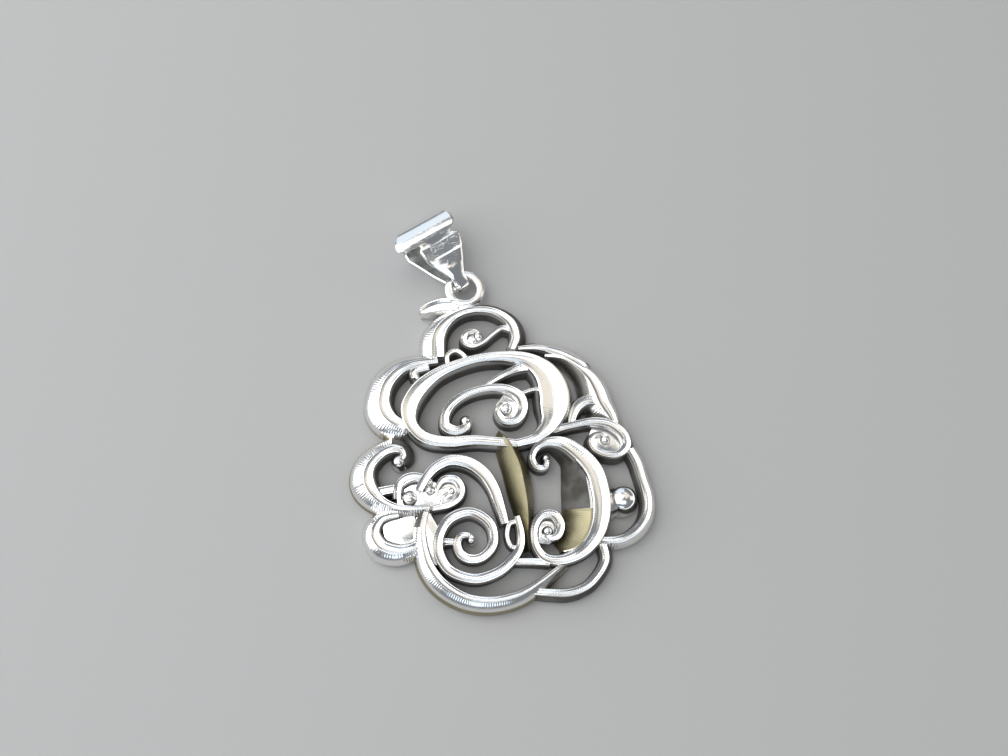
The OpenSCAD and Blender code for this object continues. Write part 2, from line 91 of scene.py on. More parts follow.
class Bench:
    """Hand tools: short names for Blender's own operators, with the selecting that each of them needs."""

    @staticmethod
    def clear() -> None:
        """Deselect everything."""
        bpy.ops.object.select_all(action="DESELECT")

    @staticmethod
    def pick(piece: bpy.types.Object) -> None:
        """Make a piece the only one that is selected, and the active one."""
        Bench.clear()
        piece.select_set(True)
        bpy.context.view_layer.objects.active = piece

    @staticmethod
    def start(name: str, primitive: Callable[..., object], **sizes: object) -> bpy.types.Object:
        """Add a primitive and set its place and size in its mesh.

        Args:
            name: Name of the new piece.
            primitive: The operator that adds the primitive.
            sizes: What the operator takes.

        Returns:
            The new piece.
        """
        Bench.clear()
        primitive(**sizes)
        piece = bpy.context.object
        piece.name = piece.data.name = name
        bpy.ops.object.transform_apply(location=True, rotation=True, scale=True)
        return piece

    @staticmethod
    def edit(piece: bpy.types.Object) -> None:
        """Open a piece in edit mode with everything selected."""
        Bench.pick(piece)
        bpy.ops.object.mode_set(mode="EDIT")
        bpy.ops.mesh.select_mode(type="VERT")
        bpy.ops.mesh.select_all(action="SELECT")

    @staticmethod
    def leave() -> None:
        """Leave edit mode."""
        bpy.ops.object.mode_set(mode="OBJECT")

    @staticmethod
    def choose(piece: bpy.types.Object, wanted: Callable[[Vector], bool]) -> int:
        """Select the vertices of an open piece by their place, and nothing else.

        Args:
            piece: The piece in edit mode.
            wanted: Says of a place whether its vertex is selected.

        Returns:
            How many vertices are selected.
        """
        mesh = bmesh.from_edit_mesh(piece.data)
        for vertex in mesh.verts:
            vertex.select = wanted(vertex.co)
        mesh.select_flush_mode()
        bmesh.update_edit_mesh(piece.data, loop_triangles=False, destructive=False)
        return sum(v.select for v in mesh.verts)

    @staticmethod
    def choose_faces(piece: bpy.types.Object, wanted: Callable[[bmesh.types.BMFace], bool]) -> None:
        """Select the faces of an open piece by their place or normal, and nothing else.

        Args:
            piece: The piece in edit mode.
            wanted: Says of a face whether it is selected.
        """
        bpy.ops.mesh.select_mode(type="FACE")
        mesh = bmesh.from_edit_mesh(piece.data)
        for face in mesh.faces:
            face.select_set(False)
        chosen = [face for face in mesh.faces if wanted(face)]
        for face in chosen:
            face.select_set(True)
        bmesh.update_edit_mesh(piece.data, loop_triangles=False, destructive=False)

    @staticmethod
    def shape_outline(piece: bpy.types.Object, corners: Sequence[Vector]) -> None:
        """Move the vertices of an open ring, one by one, to the corners of a profile."""
        for index, corner in enumerate(corners):
            mesh = bmesh.from_edit_mesh(piece.data)
            mesh.verts.ensure_lookup_table()
            for vertex in mesh.verts:
                vertex.select = vertex.index == index
            mesh.select_flush_mode()
            bpy.ops.transform.translate(value=corner - mesh.verts[index].co)
        bpy.ops.mesh.select_all(action="SELECT")

    @staticmethod
    def make_sound(piece: bpy.types.Object, gap: float) -> None:
        """Merge the doubles of a piece and turn its faces outwards.

        Args:
            piece: The piece, in object mode.
            gap: Vertices closer than this are merged.
        """
        Bench.edit(piece)
        bpy.ops.mesh.remove_doubles(threshold=gap)
        bpy.ops.mesh.dissolve_degenerate(threshold=gap)
        bpy.ops.mesh.normals_make_consistent(inside=False)
        bpy.ops.mesh.delete_loose()
        Bench.leave()

    @staticmethod
    def combine(target: bpy.types.Object, tool: bpy.types.Object, operation: str) -> bpy.types.Object:
        """Join two closed pieces into one closed solid, or cut one by the other, and remove the second.

        Args:
            target: The piece that stays.
            tool: The piece that is used up.
            operation: UNION or DIFFERENCE.

        Returns:
            The piece that stays.
        """
        Bench.pick(target)
        modifier = target.modifiers.new("combine", "BOOLEAN")
        modifier.operation = operation
        modifier.solver = "MANIFOLD"
        modifier.object = tool
        bpy.ops.object.modifier_apply(modifier=modifier.name)
        bpy.data.objects.remove(tool)
        return target

    @staticmethod
    def fuse(pieces: Sequence[bpy.types.Object]) -> bpy.types.Object:
        """Fuse closed pieces into one, two by two, so that no step works on more than it must.

        Args:
            pieces: The pieces, which are used up.

        Returns:
            The one piece that they become.
        """
        heap = list(pieces)
        while len(heap) > 1:
            pairs = [heap[i : i + 2] for i in range(0, len(heap), 2)]
            heap = [Bench.combine(*pair, "UNION") if len(pair) == 2 else pair[0] for pair in pairs]
        return heap[0]

    @staticmethod
    def copy(piece: bpy.types.Object, name: str) -> bpy.types.Object:
        """Copy a piece, with a mesh of its own."""
        twin = piece.copy()
        twin.data = piece.data.copy()
        twin.name = twin.data.name = name
        bpy.context.scene.collection.objects.link(twin)
        return twin

    @staticmethod
    def to_frame(piece: bpy.types.Object) -> None:
        """Bring a finished piece from the tables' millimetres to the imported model's frame, in metres."""
        Bench.pick(piece)
        piece.location = -MIDDLE * METRES_PER_MM
        piece.scale = (METRES_PER_MM,) * 3
        bpy.ops.object.transform_apply(location=True, rotation=True, scale=True)

    @staticmethod
    def smooth(piece: bpy.types.Object, degrees: float) -> None:
        """Shade a piece smooth, but for edges sharper than an angle."""
        Bench.pick(piece)
        bpy.ops.object.shade_smooth_by_angle(angle=math.radians(degrees))


def nearest(places: Sequence[float], value: float) -> int:
    """Find the index of the nearest of some rising numbers.

    Args:
        places: The rising numbers.
        value: The number to look for.

    Returns:
        The index of the one nearest to it.
    """
    after = min(max(bisect_left(places, value), 1), len(places) - 1)
    return after if places[after] - value < value - places[after - 1] else after - 1


@dataclass(frozen=True)
class Way:
    """Smooth line through the rows of a table, with the width and height at each place on it."""

    rows: tuple[Row, ...]

    # Chords from row to row, the same as in the curve that bends a bar, so that distances agree.
    CHORDS = 16

    def row(self, index: int) -> Row:
        """Row at an index, with the ends repeated."""
        return self.rows[max(0, min(len(self.rows) - 1, index))]

    def at(self, index: int, share: float) -> Row:
        """Find the values between two rows.

        Args:
            index: The row before.
            share: How far on towards the next row, from 0 to 1.

        Returns:
            The place, width and height there.
        """
        t = share
        quad = zip(self.row(index - 1), self.row(index), self.row(index + 1), self.row(index + 2))
        return Row(
            *(
                0.5
                * (2 * b + (c - a) * t + (2 * a - 5 * b + 4 * c - d) * t * t + (3 * b - a - 3 * c + d) * t**3)
                for a, b, c, d in quad
            )
        )

    def stations(self, steps: int) -> list[tuple[float, Row]]:
        """List the places where a bar gets a section.

        Args:
            steps: Sections from row to row, a divisor of CHORDS.

        Returns:
            The distance along the line and the values, for each section.
        """
        found = [(0.0, self.rows[0])]
        last, distance = self.rows[0], 0.0
        for index in range(len(self.rows) - 1):
            for chord in range(1, self.CHORDS + 1):
                here = self.at(index, chord / self.CHORDS)
                distance += math.hypot(here.x - last.x, here.y - last.y)
                last = here
                if chord * steps % self.CHORDS == 0:
                    found.append((distance, here))
        return found

    def curve(self) -> bpy.types.Object:
        """Draw the line as a curve that a bar can be bent along."""
        data = bpy.data.curves.new("bending_line", "CURVE")
        data.dimensions = "2D"
        data.resolution_u = self.CHORDS
        spline = data.splines.new("BEZIER")
        spline.bezier_points.add(len(self.rows) - 1)
        for index, point in enumerate(spline.bezier_points):
            before, here, after = self.row(index - 1), self.row(index), self.row(index + 1)
            lead = Vector((after.x - before.x, after.y - before.y, 0)) / 6
            point.handle_left_type = point.handle_right_type = "FREE"
            point.co = Vector((here.x, here.y, 0))
            point.handle_left, point.handle_right = point.co - lead, point.co + lead
        line = bpy.data.objects.new("bending_line", data)
        bpy.context.scene.collection.objects.link(line)
        return line


# Scrolls


@dataclass(frozen=True)
class Scroll:
    """One ribbon of the casting.

    Args:
        rows: Table of its middle line.
        left: Share of the width that the left flank takes.
        right: Share of the width that the right flank takes.
        dip: Depth of the dished crown.
        steps: Sections from row to row.
        cuts: The flank with cut lines.
        span: First and last row that the cut lines reach.
        bright: Whether every flank is polished, and not only the one with cut lines; the other flanks get the
            painted shade of the walls.
        painted_warm: Whether its polished flanks get the painted warm reflection of the middle, a dark olive
            colour.
    """

    rows: tuple[Row, ...]
    left: float = 0.2
    right: float = 0.2
    dip: float = 0.1
    steps: int = 8
    cuts: Cuts = Cuts.NONE
    span: tuple[int, int] = (0, 99)
    bright: bool = False
    painted_warm: bool = False

    # Shares of the crown's half width, and of the dish's depth there, from the middle out.
    DISH = ((0.0, 1.0), (0.32, 0.86), (0.56, 0.52), (0.74, 0.14), (0.82, 0.02))
    RIM = 0.93
    # Shares of a flank, from the crown's edge to the foot, and of the height there: a plain one, and a full one
    # as the cutter left it under its lines.
    PLAIN_FLANK = ((0.16, 0.9), (0.62, 0.62), (0.95, 0.37))
    FULL_FLANK = ((0.16, 0.95), (0.62, 0.79), (0.95, 0.48))
    FOOT = 0.3
    SINK = 0.1
    CUT_DEPTH = 0.03
    # How far towards the centre of a bend a bar may reach, as a share of the bend's radius.
    TIGHTEST = 0.85
    # Rounding of both ends: how far they reach on, in widths of the bar, and what is left of the end's size.
    END_REACH = 0.14
    END_SIZE = (1, 0.74, 0.86)
    # What the reach of a flank with the painted warm reflection is raised by in the map, so that the finish can
    # tell it.
    TONE_MARK = 4.0

    def half_crown(self) -> float:
        """Half of the crown's width, in widths of the ribbon."""
        return (1 - self.left - self.right) / 2

    def crown_middle(self) -> float:
        """Middle of the crown, in widths of the ribbon to the left of the middle line."""
        return (self.right - self.left) / 2

    def profile(self) -> list[Vector]:
        """Draw half of the section on each side of the crown's middle, one wide and one high.

        Returns:
            The corners in order from the middle of the crown, round by the left foot, to the crown again.
        """
        height = sum(r.height for r in self.rows) / len(self.rows)
        dip, half, middle = self.dip / height, self.half_crown(), self.crown_middle()
        sides = []
        for side in (1, -1):
            edge = middle + side * half
            foot = side * 0.5
            flank = foot - edge
            side_corners = [(middle + side * half * at, 1 - dip * depth) for at, depth in self.DISH]
            side_corners += [(middle + side * half * self.RIM, 1.0), (edge, 0.985)]
            full = side == self.cuts.value and self.dip > 0
            shares = self.FULL_FLANK if full else self.PLAIN_FLANK
            side_corners += [(edge + at * flank, up) for at, up in shares]
            side_corners += [
                (foot, self.FOOT - 0.04),
                (foot, 0.05),
                (foot - side * 0.03, 0.0),
                (foot - side * 0.03, -self.SINK),
            ]
            sides.append(side_corners)
        ring = sides[0] + sides[1][:0:-1]
        return [Vector((0, across, up)) for across, up in ring]

    def bar(self, name: str) -> bpy.types.Object:
        """Forge the ribbon as a straight bar, cut its lines, map it, and bend it along its line.

        Args:
            name: Name of the piece.

        Returns:
            The closed ribbon.
        """
        corners = self.profile()
        way = Way(self.rows)
        stations = way.stations(self.steps)
        piece = Bench.start(
            name,
            bpy.ops.mesh.primitive_circle_add,
            vertices=len(corners),
            fill_type="NGON",
            rotation=(math.pi / 2, 0, math.pi / 2),
        )
        Bench.edit(piece)
        Bench.shape_outline(piece, corners)
        bpy.ops.transform.resize(value=(1, self.rows[0].width, self.rows[0].height), center_override=(0, 0, 0))
        for (last, before), (here, row) in zip(stations, stations[1:]):
            bpy.ops.mesh.extrude_region_move(TRANSFORM_OT_translate={"value": (here - last, 0, 0)})
            grown = (1, row.width / before.width, row.height / before.height)
            bpy.ops.transform.resize(value=grown, center_override=(here, 0, 0))
        self.round_end(stations[-1], 1)
        Bench.choose_faces(piece, lambda face: face.normal.x < -0.9)
        self.round_end(stations[0], -1)
        bpy.ops.mesh.select_mode(type="VERT")
        if self.cuts is not Cuts.NONE:
            self.cut_lines(piece, stations)
        self.clear_bends(piece, stations)
        Bench.leave()
        self.map_way(piece, stations)
        self.bend(piece, way)
        return piece

    def round_end(self, station: tuple[float, Row], way: int) -> None:
        """Draw the selected end of the straight bar out a little, and narrow it.

        Args:
            station: Distance and row of the end.
            way: 1 for the far end, -1 for the near end.
        """
        place, row = station
        reach = way * self.END_REACH * row.width
        bpy.ops.mesh.extrude_region_move(TRANSFORM_OT_translate={"value": (reach, 0, 0)})
        bpy.ops.transform.resize(value=self.END_SIZE, center_override=(place + reach, 0, 0))

    def cut_lines(self, piece: bpy.types.Object, stations: Sequence[tuple[float, Row]]) -> None:
        """Press every other section of one flank in, in the rows that the cutter reached.

        Args:
            piece: The straight bar, in edit mode.
            stations: Distance and row of each section.
        """
        first, last = (row * self.steps for row in self.span)
        places = [place for place, _ in stations]
        side = self.cuts.value

        def on_flank(co: Vector) -> bool:
            index = nearest(places, co.x)
            if not first <= index <= last or index % 2:
                return False
            row = stations[index][1]
            reach = side * (co.y / row.width - self.crown_middle()) / self.half_crown()
            return reach > 0.9 and co.z > 0.2 * row.height

        if Bench.choose(piece, on_flank):
            bpy.ops.transform.translate(value=(0, -side * self.CUT_DEPTH, -0.4 * self.CUT_DEPTH))

    def map_way(self, piece: bpy.types.Object, stations: Sequence[tuple[float, Row]]) -> None:
        """Map the straight bar, so that a finish knows where on the ribbon it is.

        The map gives the distance along the bar and the reach across the crown, where 1 is the crown's edge.
        The reach is positive on the flanks that were polished, raised where they get the painted warm
        reflection, and negative on the walls, whose dark colour is painted shade.

        Args:
            piece: The straight bar, in object mode.
            stations: Distance and row of each section.
        """
        places = [place for place, _ in stations]
        middle, half = self.crown_middle(), self.half_crown()
        first, last = (row * self.steps for row in self.span)
        layer = piece.data.uv_layers.new(name=WAY_MAP) if not piece.data.uv_layers else piece.data.uv_layers[0]
        layer.name = WAY_MAP
        for polygon in piece.data.polygons:
            centre = nearest(places, polygon.center.x)
            reached = self.cuts is not Cuts.NONE and first <= centre <= last
            across = polygon.center.y / stations[centre][1].width - middle
            polished = self.bright or (reached and across * self.cuts.value > 0)
            for index in polygon.loop_indices:
                co = piece.data.vertices[piece.data.loops[index].vertex_index].co
                width = stations[nearest(places, co.x)][1].width
                reach = abs(co.y / width - middle) / half
                # Flanks that are not polished get a negative reach, which the finish paints with the dark wall
                # shade; a flank with the painted warm reflection gets its reach raised.
                if self.painted_warm and polished:
                    reach += self.TONE_MARK
                layer.data[index].uv = (co.x, reach if polished else -reach)

    def clear_bends(self, piece: bpy.types.Object, stations: Sequence[tuple[float, Row]]) -> None:
        """Narrow the inner side of a straight bar wherever its bend will be tighter than the bar is wide.

        Args:
            piece: The straight bar, in edit mode.
            stations: Distance and row of each section.
        """
        places = [place for place, _ in stations]
        limits: dict[int, float] = {}
        for index in range(1, len(stations) - 1):
            (_, a), (_, b), (_, c) = stations[index - 1 : index + 2]
            before, after = Vector((b.x - a.x, b.y - a.y)), Vector((c.x - b.x, c.y - b.y))
            turn = math.atan2(before.cross(after), before.dot(after))
            reach = self.TIGHTEST * (before.length + after.length) / 2 / max(abs(turn), 1e-6)
            if reach < b.width / 2:
                limits[index] = math.copysign(reach, turn)
        for index, limit in limits.items():
            side = math.copysign(1, limit)

            def beyond(co: Vector) -> bool:
                return nearest(places, co.x) == index and side * co.y > abs(limit)

            if Bench.choose(piece, beyond):
                bpy.ops.transform.resize(value=(1, 0.02, 1), center_override=(0, limit, 0))

    @staticmethod
    def bend(piece: bpy.types.Object, way: Way) -> None:
        """Bend a straight bar along its line."""
        line = way.curve()
        Bench.pick(piece)
        modifier = piece.modifiers.new("bend", "CURVE")
        modifier.object = line
        modifier.deform_axis = "POS_X"
        bpy.ops.object.modifier_apply(modifier=modifier.name)
        bpy.data.objects.remove(line)
        Bench.make_sound(piece, DOUBLES)


def rows(*values: tuple[float, float, float, float]) -> tuple[Row, ...]:
    """Make a table of rows."""
    return tuple(Row(*v) for v in values)


def turned(centre: tuple[float, float], *values: tuple[float, float, float, float]) -> tuple[Row, ...]:
    """Make a table from rows that give an angle in degrees and a radius about a centre."""
    return tuple(
        Row(centre[0] + r * math.cos(math.radians(a)), centre[1] + r * math.sin(math.radians(a)), w, h)
        for a, r, w, h in values
    )


TOP = {
    "top_loop": Scroll(
        rows(
            (-2.8, 9.3, 2.2, 1.5), (-2.5, 10.7, 2.2, 1.7), (-1.75, 11.7, 1.8, 1.7), (-0.5, 12.35, 1.2, 1.7),
            (1.0, 12.5, 1.0, 1.7), (2.6, 12.05, 1.1, 1.7), (3.75, 10.9, 1.35, 1.7), (3.95, 9.6, 1.4, 1.6),
            (3.4, 8.6, 1.2, 1.5),
        ),
        0.42, 0.12, cuts=Cuts.LEFT, steps=16, span=(0, 4),
    ),
    "top_curl": Scroll(
        rows(
            (3.6, 10.2, 0.7, 1.4), (2.9, 10.5, 0.65, 1.5), (2.1, 10.2, 0.65, 1.5), (1.2, 9.7, 0.65, 1.5),
            (0.3, 9.55, 0.7, 1.5), (-0.25, 10.1, 0.75, 1.5), (0.15, 10.7, 0.6, 1.5), (0.85, 10.65, 0.5, 1.4),
            (1.1, 10.2, 0.4, 1.3),
        )
    ),
    "top_knuckle": Scroll(
        rows(
            (-1.85, 8.5, 0.5, 1.5), (-1.7, 9.2, 0.5, 1.5), (-1.05, 9.4, 0.5, 1.5), (-0.5, 8.9, 0.5, 1.5),
            (-0.45, 8.3, 0.5, 1.5),
        )
    ),
    "spur": Scroll(
        rows(
            (-0.1, 13.0, 1.3, 1.6), (-1.1, 13.35, 1.35, 1.5), (-2.2, 13.35, 1.15, 1.4), (-3.0, 13.25, 0.6, 1.3),
        ),
        0.12, 0.12, 0.3, bright=True,
    ),
}

OUTER = {
    "upper_left": Scroll(
        rows(
            (-2.5, 9.1, 1.1, 1.5), (-4.2, 9.25, 1.4, 1.6), (-5.6, 9.0, 1.75, 1.7), (-6.8, 8.2, 2.05, 1.7),
            (-7.45, 7.1, 2.2, 1.7), (-7.65, 6.0, 2.4, 1.7), (-7.2, 4.9, 2.2, 1.7), (-6.1, 4.0, 1.7, 1.6),
        ),
        0.12, 0.5, cuts=Cuts.RIGHT, steps=16, span=(0, 7),
    ),
    "left_middle": Scroll(
        rows(
            (-6.9, 1.75, 0.9, 1.3), (-6.35, 2.05, 1.1, 1.5), (-6.45, 2.75, 1.2, 1.6), (-7.25, 3.1, 1.45, 1.7),
            (-8.4, 2.8, 1.6, 1.7), (-9.35, 2.1, 1.9, 1.7), (-9.8, 1.1, 2.2, 1.7), (-9.65, 0.1, 2.1, 1.7),
            (-9.0, -0.9, 1.6, 1.6), (-8.0, -1.6, 1.2, 1.6), (-6.8, -2.0, 1.0, 1.6), (-5.4, -2.2, 0.8, 1.5),
        ),
        0.12, 0.52, cuts=Cuts.RIGHT, steps=16, span=(3, 11),
    ),
    "left_lower": Scroll(
        rows(
            (-7.7, -1.95, 0.8, 1.5), (-9.0, -2.0, 1.2, 1.6), (-9.8, -2.9, 1.7, 1.6), (-9.45, -4.1, 1.9, 1.6),
            (-8.3, -4.75, 1.7, 1.6), (-7.2, -4.75, 1.3, 1.6), (-6.5, -4.5, 1.0, 1.5),
        ),
        0.2, 0.42, cuts=Cuts.RIGHT, steps=16, span=(0, 6),
    ),
    "upper_left_curl": Scroll(
        rows(
            (-3.3, 8.6, 1.0, 1.5), (-4.12, 8.57, 1.0, 1.5), (-4.6, 8.3, 0.8, 1.5), (-4.6, 7.95, 0.5, 1.4),
        )
    ),
    "bottom_arc": Scroll(
        rows(
            (-5.9, -2.22, 0.9, 1.6), (-6.45, -3.4, 1.05, 1.8), (-6.65, -4.8, 1.2, 1.8), (-6.5, -6.35, 1.45, 1.8),
            (-5.75, -7.85, 1.5, 1.8), (-4.3, -9.15, 1.4, 1.8), (-2.45, -9.8, 1.35, 1.8), (-0.5, -9.8, 1.25, 1.8),
            (1.2, -9.25, 1.05, 1.7), (2.5, -8.65, 0.85, 1.6), (3.3, -8.25, 0.7, 1.5),
        ),
        0.08, 0.58, cuts=Cuts.RIGHT, steps=16, span=(1, 10),
    ),
    "bottom_curve": Scroll(
        rows(
            (0.2, -9.5, 0.8, 1.4), (1.6, -9.95, 0.95, 1.6), (3.1, -10.3, 1.0, 1.6), (4.5, -10.1, 1.0, 1.6),
            (5.6, -9.4, 1.0, 1.6), (6.35, -8.5, 1.05, 1.6), (6.45, -7.4, 1.1, 1.5),
        ),
        0.12, 0.4,
    ),
    "right_lower": Scroll(
        rows(
            (10.2, -1.0, 1.1, 1.6), (10.45, -2.1, 1.15, 1.7), (10.5, -3.4, 1.1, 1.7), (10.55, -4.6, 1.15, 1.7),
            (10.35, -5.6, 1.15, 1.7), (9.75, -6.55, 1.15, 1.7), (8.8, -7.2, 1.15, 1.7), (7.6, -7.45, 1.05, 1.7),
            (6.3, -7.2, 0.9, 1.6),
        ),
        0.35, 0.15, cuts=Cuts.LEFT, steps=16, span=(0, 8),
    ),
    "right_lobe": Scroll(
        rows(
            (7.0, -4.55, 2.5, 1.6), (7.7, -4.55, 2.2, 1.5), (8.4, -4.55, 1.9, 1.4),
        ),
        0.2, 0.2, -0.1, bright=True,
    ),
    "right_upper": Scroll(
        rows(
            (3.7, 1.5, 0.6, 1.6), (5.2, 1.7, 0.85, 1.8), (6.6, 1.75, 0.9, 1.8), (7.9, 1.7, 1.0, 1.8),
            (9.15, 1.2, 1.1, 1.8), (9.95, 0.25, 1.2, 1.8), (10.0, -0.7, 1.1, 1.7), (9.2, -1.25, 0.9, 1.6),
            (8.2, -1.05, 0.8, 1.6), (7.45, -0.45, 0.75, 1.6), (7.35, 0.25, 0.7, 1.6), (7.85, 0.7, 0.6, 1.6),
            (8.5, 0.55, 0.5, 1.5), (8.7, 0.1, 0.4, 1.4),
        ),
        0.3, 0.12,
    ),
    "upper_right_rim": Scroll(
        rows(
            (3.6, 8.7, 0.6, 1.4), (5.2, 8.45, 0.9, 1.5), (6.6, 7.85, 1.15, 1.5), (7.75, 7.0, 1.2, 1.5),
            (8.5, 6.2, 0.9, 1.4), (8.75, 5.8, 0.4, 1.2),
        ),
        0.4, 0.15, cuts=Cuts.LEFT, steps=16, span=(1, 4),
    ),
    "upper_right": Scroll(
        rows(
            (5.6, 7.5, 0.5, 1.5), (6.9, 6.95, 0.8, 1.7), (7.8, 6.0, 1.3, 1.7), (8.4, 5.0, 2.0, 1.7),
            (8.65, 4.0, 2.4, 1.7), (8.8, 2.9, 2.4, 1.7), (9.2, 1.8, 1.9, 1.6), (9.45, 0.95, 1.1, 1.5),
        ),
        0.2, 0.45, cuts=Cuts.LEFT, steps=16, span=(1, 6), bright=True,
    ),
    "upper_right_curl": Scroll(
        rows(
            (8.9, 3.1, 1.1, 1.5), (7.95, 3.35, 1.2, 1.6), (7.15, 3.1, 1.2, 1.6), (6.6, 2.5, 1.0, 1.6),
            (6.25, 1.8, 0.8, 1.6),
        )
    ),
}

